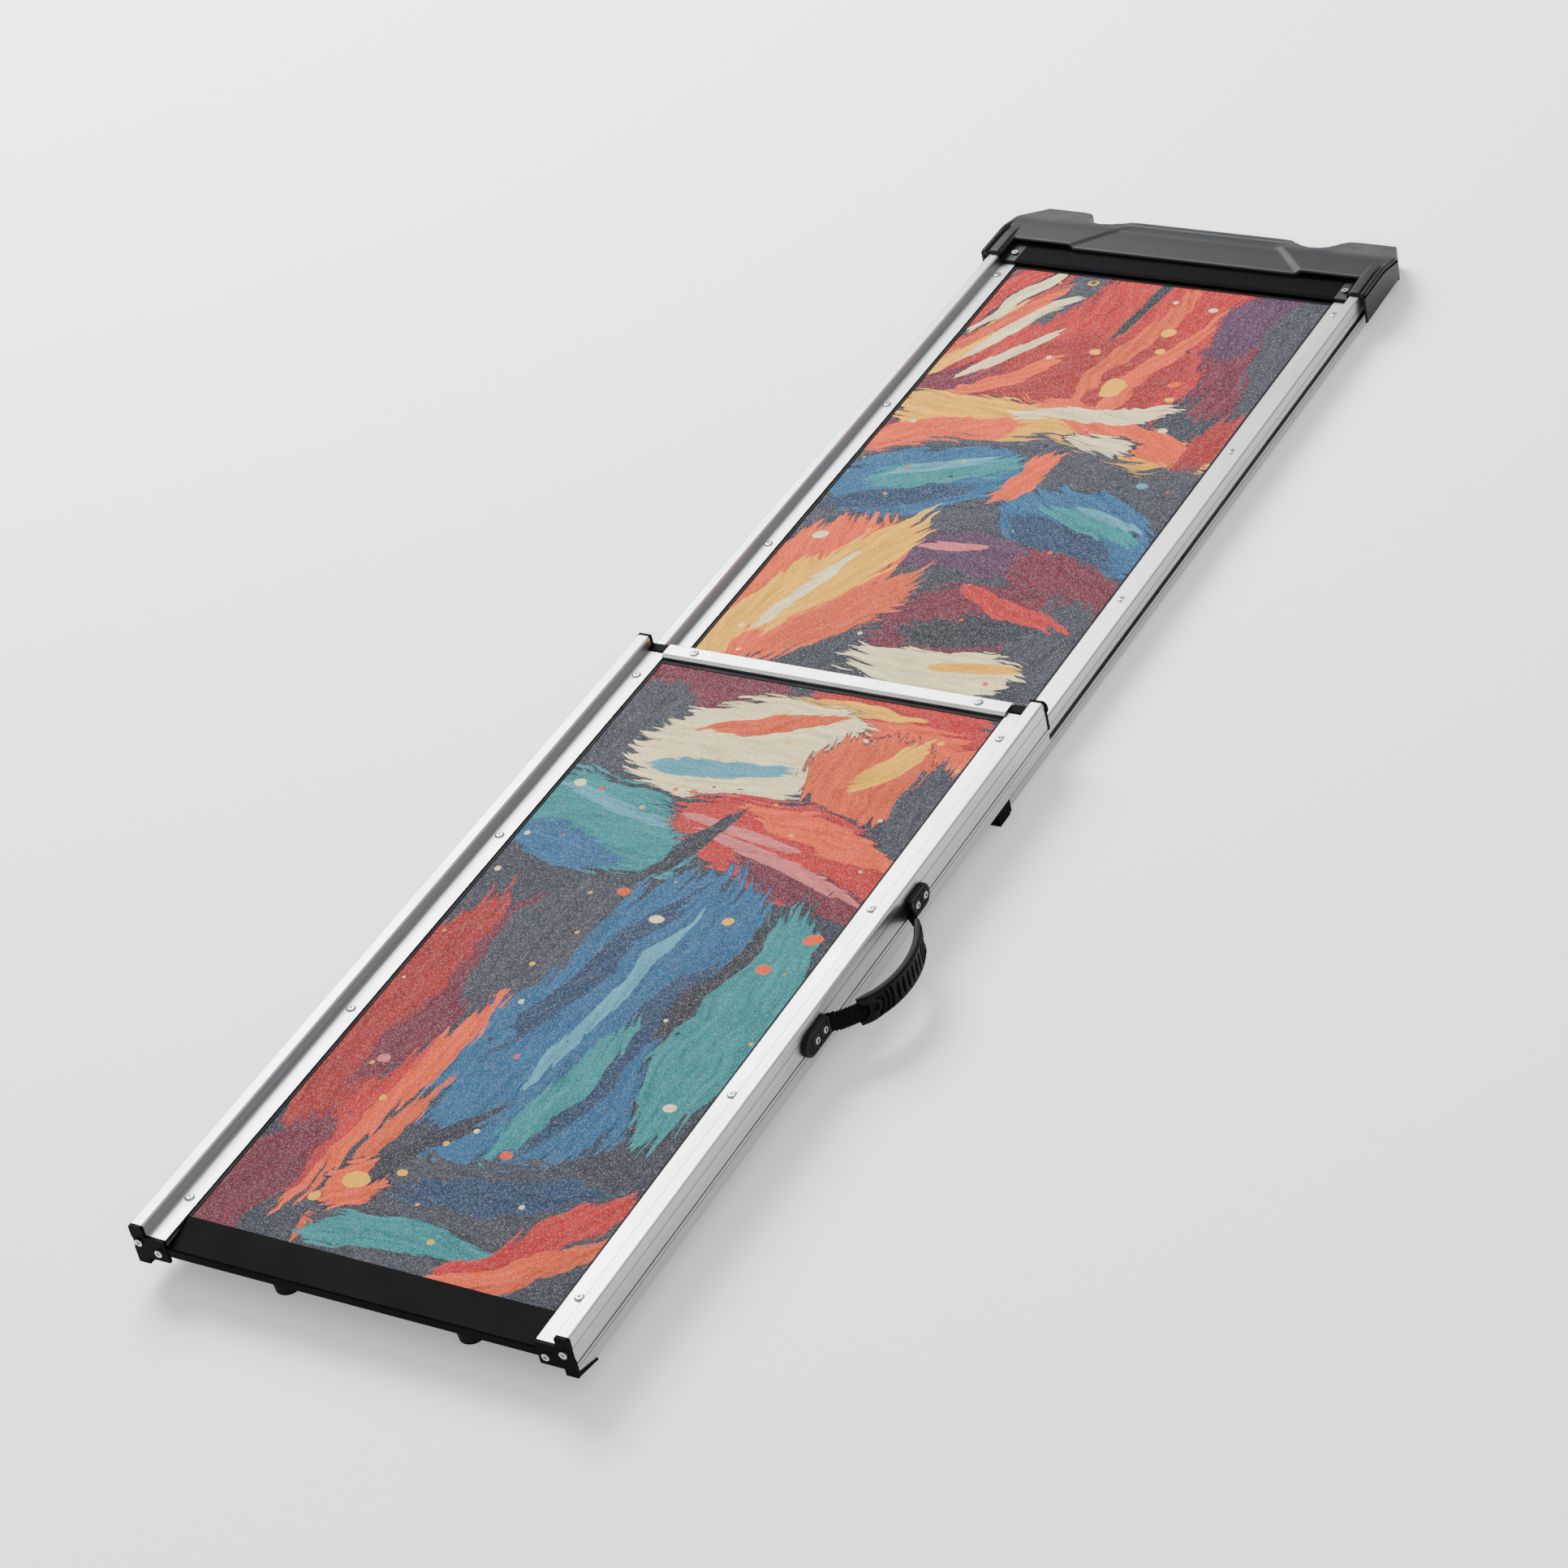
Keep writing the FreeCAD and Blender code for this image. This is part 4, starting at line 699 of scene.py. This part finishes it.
def wall_below(shape, line, towards, bottom_of, thick=WALL):
    """Upright wall under a line of points, down to a height that depends on where it is."""
    outside = [line, [Vector((p.x, p.y, bottom_of(p) + 1.0)) for p in line],
               [inner(Vector((p.x, p.y, bottom_of(p))), towards(p), 0.8) for p in line]]
    inside = [[inner(p, towards(p), thick) for p in row] for row in outside]
    slab(shape, outside, inside)


def build_nose(shape):
    """Moulded nose cover: its top skin in three strips, the walls under their free rims, and two tabs."""
    middle = nose_grid(-NOSE_END, NOSE_END, False, False)
    left = nose_grid(-NOSE_HALF, -NOSE_END, True, True)
    right = nose_grid(NOSE_END, NOSE_HALF, True, True)
    for part in (left, middle, right):
        slab(shape, part, [[p - Vector((0, 0, WALL)) for p in row] for row in part])

    def far_bottom(p):
        return SKIRT_LOW + (SKIRT_HIGH - SKIRT_LOW) * (1 - step(p.y, CHEEK_FAR, 1566))

    def straight_in(p):
        return (p.x, p.y - 10)

    def corner_in(p):
        return (p.x * 0.9, p.y - 9)

    for part in (left, middle, right):
        heads = [row[-1] for row in part]
        wall_below(shape, heads, corner_in if part is not middle else straight_in, far_bottom)
    for part, index in ((left, 0), (right, -1)):
        wall_below(shape, part[index], lambda p: (0, p.y), lambda p: SKIRT_HIGH + 0.02 * (p.y - CHEEK_NEAR))
    # near walls: above the sill bar in the middle, down to the tabs beside it
    for low, high, bottom in ((-NOSE_END, -170, -19.8), (-170, 170, -15.25), (170, NOSE_END, -19.8)):
        line = [row[0] for row in middle if low <= row[0].x <= high]
        wall_below(shape, line, lambda p: (p.x, p.y + 10), lambda p: bottom, 2.2)
    for sign in (-1, 1):
        part, index = (right, 0) if sign > 0 else (left, -1)
        along = [p for p in part[index] if p.y < NOSE_NEAR + 4]
        wall_below(shape, along, lambda p: (p.x + sign * 10, p.y), lambda p: -19.9, 2.1)
        # screwed tab on the rail's flange, its near edge eased
        first, last = sorted((sign * 170.2, sign * 185.9))
        tab = []
        for y in (COVER_NEAR + 0.6, COVER_NEAR + 1, COVER_NEAR + 1.8, NOSE_NEAR + 1):
            height = TAB_TOP - 0.8 * (1 - step(y, COVER_NEAR + 0.4, COVER_NEAR + 1.4))
            tab.append([Vector((x, y, height)) for x in (first, first + 0.5, last)])
        slab(shape, tab, [[Vector((p.x, p.y, TAB_BOTTOM)) for p in row] for row in tab])


# ---------------------------------------------------------------- rivets and screws

RIVET_X = 179.5
BAR_RIVET_X, BAR_RIVET_Y, BAR_TOP = 141, 785.5, 3.2
LOWER_RIVETS_Y = [50 + 232.5 * i for i in range(4)]
UPPER_RIVETS_Y = [746.3 + 235.87 * i for i in range(4)]
UPPER_TOP = -20.2


def rivet_profile(grip):
    """Domed head with the pulled stem's dimple, shank and set tail."""
    return [(0, 0.6), (1.35, 0.5), (1.6, 1.45), (2.3, 1.5), (3.3, 1.22), (4.0, 0.72), (4.3, 0.2), (4.25, 0),
            (2.4, 0), (2.4, -grip), (3.0, -grip), (3.1, -grip - 0.7), (2.6, -grip - 1.5), (0, -grip - 1.5)]


def rivets(spots, grip):
    """A function that builds one rivet at each spot."""
    def build(shape):
        for spot in spots:
            lathe(shape, rivet_profile(grip), spot)
    return build


def build_all_rivets(material):
    for stage, rows, top, grip in (("lower", LOWER_RIVETS_Y, 0, 10.1),
                                   ("upper", UPPER_RIVETS_Y, UPPER_TOP, 11.8)):
        spots = [(side * RIVET_X, y, top) for side in (-1, 1) for y in rows]
        mesh_piece(f"{stage}_rivet_domes", rivets(spots, grip), f"{stage}_section", material,
                   [f"{stage}_deck_rivets"])
    spots = [(side * BAR_RIVET_X, BAR_RIVET_Y, BAR_TOP) for side in (-1, 1)]
    mesh_piece("crossbar_rivet_domes", rivets(spots, 11.8), "lower_section", material,
               ["lower_crossbar_rivets"])


# ---------------------------------------------------------------- carry handle

ARC_X, ARC_Y, ARC_R = 146.2, 460.5, 91.8
STRAP_Z = -10.5
GRIP_HALF_ANGLE = math.radians(34)
GRIP_HALF_HEIGHT = 12.5
GRIP_NOTCH = 8.5                     # depth of the notch where the webbing enters
GRIP_RECESS = 2.3                    # depth of the moulded pattern


def on_arc(angle, out=0.0, height=0.0):
    """A point on the handle's arc: angle from straight out, distance outward, height from its middle."""
    return Vector((ARC_X + (ARC_R + out) * math.cos(angle), ARC_Y + (ARC_R + out) * math.sin(angle),
                   STRAP_Z + height))


def grip_recess(along, height):
    """Depth of the moulded pattern on the grip's outer face, 0 to 1: slots, then crescents round an oval."""
    from_middle = abs(along)
    depth = 0
    for i in range(3):
        slot = math.hypot((from_middle - 3.6 - 7.2 * i) / 2.1, height / 9.6)
        depth = max(depth, 1 - step(slot, 0.72, 1.0))
    eye = 42.5
    oval = math.hypot((from_middle - eye) / 2.4, height / 4.4)
    depth = max(depth, 1 - step(oval, 0.7, 1.05))
    for ring in (7.2, 12.2, 17.2):
        away = math.hypot((from_middle - eye), height * 0.82)
        if from_middle < eye - 1.5:
            band = 1 - step(abs(away - ring), 1.0, 1.75)
            band *= 1 - step(abs(height), 8.6, 10.2)
            depth = max(depth, band)
    return depth


def build_grip(shape):
    """Rubber grip: a swept rounded section, flared and notched where the webbing enters."""
    stations = 190
    rows = []
    for i in range(stations + 1):
        share = 2 * i / stations - 1
        half = GRIP_HALF_HEIGHT + 0.9 * step(abs(share), 0.62, 0.95)
        thin = 1.6 * step(abs(share), 0.80, 1.0)
        row = []
        for out, height, face in grip_section(half):
            end_cut = GRIP_NOTCH * (1 - step(abs(height), 3.0, 10.5)) / ARC_R
            angle = share * GRIP_HALF_ANGLE - math.copysign(end_cut * step(abs(share), 0.72, 1.0), share)
            depth = 0
            if face > 0:
                depth = GRIP_RECESS * grip_recess(angle * (ARC_R + 4), height) * face
            row.append(on_arc(angle, out - depth - (thin if out > 0 else -thin * 0.4), height))
        rows.append(row)
    made = grid(shape, rows, close_u=True)
    shape.faces.new(made[0])
    shape.faces.new(made[-1])


def grip_section(half):
    """Closed outline of (outward, height, outer-face share) points round the grip."""
    outward, inward, corner = 4.1, -2.9, 2.2
    points = []
    count = 44
    for i in range(count + 1):
        height = -half + corner + (2 * half - 2 * corner) * i / count
        points.append((outward, height, min(1, (half - abs(height) - 1.2) / 1.2)))

    def round_corner(middle_out, middle_high, start):
        for i in range(1, 6):
            angle = math.radians(start + 90 * i / 6)
            points.append((middle_out + corner * math.cos(angle), middle_high + corner * math.sin(angle), 0))

    round_corner(outward - corner, half - corner, 0)
    round_corner(inward + corner, half - corner, 90)
    for i in range(11):
        points.append((inward, half - corner - (2 * half - 2 * corner) * i / 10, 0))
    round_corner(inward + corner, -half + corner, 180)
    round_corner(outward - corner, -half + corner, 270)
    return [(out, height, max(0, share)) for out, height, share in points]


def strap_path(share, end):
    """Middle line of the webbing from inside a bracket (0) to inside the grip (1), and its outward way."""
    inside_y, mouth_y = (385.5, 390.5) if end < 0 else (535.5, 530.5)
    wall_x = 203.9
    mouth = math.radians(49.0) * end
    deep = math.radians(22.0) * end
    if share < 0.12:
        t = share / 0.12
        y = inside_y + (mouth_y - inside_y) * t
        return Vector((wall_x, y, STRAP_Z)), Vector((1, 0, 0))
    t = (share - 0.12) / 0.88
    angle = mouth + (deep - mouth) * t
    arc = on_arc(angle)
    out = Vector((math.cos(angle), math.sin(angle), 0))
    settle = step(t, 0, 0.16)
    return Vector((wall_x, mouth_y + (arc.y - mouth_y) * settle, STRAP_Z)).lerp(arc, settle), \
        Vector((1, 0, 0)).lerp(out, settle).normalized()


def build_strap(end):
    """Ribbed webbing between one bracket and the grip."""
    def build(shape):
        rows = []
        count = 220
        for i in range(count + 1):
            share = i / count
            middle, out = strap_path(share, end)
            rib = 0.5 + 0.5 * math.sin(i * 2 * math.pi / 9)
            thick = 0.6 + 0.75 * rib
            half = 9.0 + 0.95 * rib
            ring = [(thick, -half + 0.8), (thick, 0), (thick, half - 0.8), (thick * 0.45, half),
                    (-thick * 0.45, half), (-thick, half - 0.8), (-thick, 0), (-thick, -half + 0.8),
                    (-thick * 0.45, -half), (thick * 0.45, -half)]
            rows.append([middle + out * o + Vector((0, 0, h)) for o, h in ring])
        made = grid(shape, rows, close_u=True)
        shape.faces.new(made[0])
        shape.faces.new(made[-1])
    return build


BRACKETS = {"lower": (389.0, 362.8), "upper": (531.0, 552.2)}
BRACKET_SCREWS = {"lower": (368.5, 382.0), "upper": (540.5, 554.0)}
BRACKET_Z = -9.5
BRACKET_R = 10.8
RAIL_OUT = 201.5
BRACKET_T = 5.2


def bracket_outline(inner_y, round_y, shrink):
    """Outline in (y, z) with one round end and one end with small rounded corners."""
    way = 1 if inner_y > round_y else -1
    radius = BRACKET_R - shrink
    points = []
    for i in range(25):
        angle = math.radians(90 + 180 * i / 24)
        points.append((round_y + way * radius * math.cos(angle), BRACKET_Z + radius * math.sin(angle)))
    corner = 2.4
    edge = inner_y - way * shrink
    for start in (270, 0):
        for i in range(6):
            angle = math.radians(start + 90 * i / 5)
            lift = -radius + corner if start == 270 else radius - corner
            points.append((edge - way * corner + way * corner * math.cos(angle),
                           BRACKET_Z + lift + corner * math.sin(angle)))
    return points


def build_bracket(place_name):
    """Moulded bracket: crowned plate with fine upright ribs, a raised lip where the webbing leaves."""
    inner_y, round_y = BRACKETS[place_name]
    way = 1 if inner_y > round_y else -1
    screws = BRACKET_SCREWS[place_name]

    def build(shape):
        face = RAIL_OUT + BRACKET_T
        layers = [(RAIL_OUT + 0.02, 0), (face - 1.5, 0), (face - 0.7, 0.3), (face - 0.2, 0.9), (face, 1.8)]
        rings = [[(x, y, z) for y, z in bracket_outline(inner_y, round_y, shrink)] for x, shrink in layers]
        made = grid(shape, rings, close_u=True)
        shape.faces.new(made[0])
        shape.faces.new(made[-1])
        low = min(inner_y, round_y) - (BRACKET_R if way > 0 else 0) + 3
        high = max(inner_y, round_y) + (0 if way > 0 else BRACKET_R) - 3
        y = low
        while y < high:
            if all(abs(y - s) > 3.9 for s in screws):
                reach = BRACKET_R - 3.0
                beyond = (round_y - y) * way
                if beyond > 0:
                    reach = math.sqrt(max(1, (BRACKET_R - 2.4) ** 2 - beyond ** 2)) - 0.6
                rib(shape, face, y, BRACKET_Z - reach, BRACKET_Z + reach)
            else:
                for side in (-1, 1):
                    ends = sorted((BRACKET_Z + side * 4.6, BRACKET_Z + side * (BRACKET_R - 3.0)))
                    rib(shape, face, y, *ends)
            y += 1.45
        lip = (inner_y - way * 0.4, inner_y - way * 3.0)
        lip_half = BRACKET_R - 2.2
        raised_bar(shape, face, face + 0.9, min(lip), max(lip), BRACKET_Z - lip_half, BRACKET_Z + lip_half)
    return build


def rib(shape, face, y, low, high):
    """One fine upright rib with sloping flanks."""
    raised_bar(shape, face - 0.05, face + 0.42, y - 0.36, y + 0.36, low, high, 0.2)


def raised_bar(shape, x0, x1, y0, y1, z0, z1, rim=0.4):
    """A block that stands out along X, its outer face pulled in by a rim."""
    rings = [[(x, y0 + r, z0 + r), (x, y1 - r, z0 + r), (x, y1 - r, z1 - r), (x, y0 + r, z1 - r)]
             for x, r in ((x0, 0), (x1 - rim * 0.6, 0), (x1, rim))]
    made = grid(shape, rings, close_u=True)
    shape.faces.new(made[0])
    shape.faces.new(made[-1])


def build_handle_pieces(plastic, rubber, fabric, bright):
    """Grip, the two free lengths of webbing, the brackets and their screws."""
    mesh_piece("grip_moulding", build_grip, "carry_handle", rubber, ["handle_grip"], 30)
    straps = []
    for end, label in ((-1, "lower"), (1, "upper")):
        straps.append(mesh_piece(f"webbing_{label}_end", build_strap(end), None, fabric,
                                 ["handle_webbing", "handle_webbing_ends"], 40))
    for end, strap in zip((-1, 1), straps):
        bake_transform(strap)
    for label in BRACKETS:
        mesh_piece(f"bracket_moulding_{label}", build_bracket(label), "lower_section", plastic,
                   [f"handle_bracket_{label}"], 30)

    def screws(shape):
        face = RAIL_OUT + BRACKET_T
        profile = [(0, -1.6), (1.35, -1.6), (1.5, 0.75), (1.85, 1.0), (2.7, 0.85), (3.15, 0.4), (3.2, -0.1),
                   (2.0, -0.2), (2.0, -6.6), (0, -6.6)]
        for ys in BRACKET_SCREWS.values():
            for y in ys:
                lathe(shape, profile, (face + 0.2, y, BRACKET_Z), Vector((1, 0, 0)), 30)
    mesh_piece("bracket_screw_heads", screws, "lower_section", bright, ["handle_bracket_screws"],
               30)


# ---------------------------------------------------------------- dressing the ramp

def slot_nodes(slot_name):
    """The CAD nodes that the record gives one material slot."""
    return [part["node"] for part in frame["record"]["subparts"] if part["material_slot"] == slot_name]


build_camera()
build_stage()

metal = aluminium("mill_aluminium")
plastic = grained("black_plastic", (0.003, 0.003, 0.0034), 0.5, 1300, 0.15, 0.02)
nose_plastic = grained("nose_plastic", (0.0085, 0.009, 0.0102), 0.5, 1500, 0.3, 0.2)
bracket_plastic = grained("bracket_plastic", (0.006, 0.006, 0.0065), 0.42, 1300, 0.15, 0.14)
rubber = grained("grip_rubber", (0.0026, 0.0026, 0.003), 0.55, 1100, 0.2, 0.08)
foot = grained("foot_rubber", (0.004, 0.004, 0.004), 0.75, 700, 0.3, 0.2)
seal = grained("seal_rubber", (0.002, 0.002, 0.002), 0.7, 900, 0.2, 0.15)
glide = grained("glide_plastic", (0.72, 0.71, 0.66), 0.4, 900, 0.1, 0.45)
bright = zinc()
fabric = webbing()
for slot_name, material in (("mill_aluminium", metal), ("black_plastic", plastic), ("grip_rubber", rubber),
                            ("foot_rubber", foot), ("seal_rubber", seal), ("zinc_steel", bright),
                            ("composite_board", board()), ("glide_plastic", glide),
                            ("strap_webbing", fabric)):
    dress(slot_nodes(slot_name), material)

dress(["lower_deck_grip_sheet"], printed_grit("lower", 0, 785))
dress(["upper_deck_grip_sheet"], printed_grit("upper", 785, 1500))
dress(["lower_rail_left", "lower_rail_right"], aluminium("lower_rail_aluminium", shaded_grooves=LOWER_SHADED_GROOVES))
dress(["upper_rail_left", "upper_rail_right"], aluminium("upper_rail_aluminium", shaded_grooves=UPPER_SHADED_GROOVES))
rivet_metal = aluminium("rivet_aluminium", 0.42, 0.24)
build_all_rivets(rivet_metal)
mesh_piece("nose_skin", build_nose, "upper_section", nose_plastic, ["nose_cover"], 32)
build_handle_pieces(bracket_plastic, rubber, fabric, bright)
soften(["lower_rail_left", "lower_rail_right", "upper_rail_left", "upper_rail_right"], 0.0003)
soften(["lower_crossbar", "upper_tail_crossbar", "upper_sill_bar", "bottom_lip"], 0.0004)
soften(["bottom_end_cap_left", "bottom_end_cap_right", "lower_top_cap_left", "lower_top_cap_right",
        "upper_tail_cap_left", "upper_tail_cap_right", "ground_feet", "vehicle_pads"], 0.0006, 3)
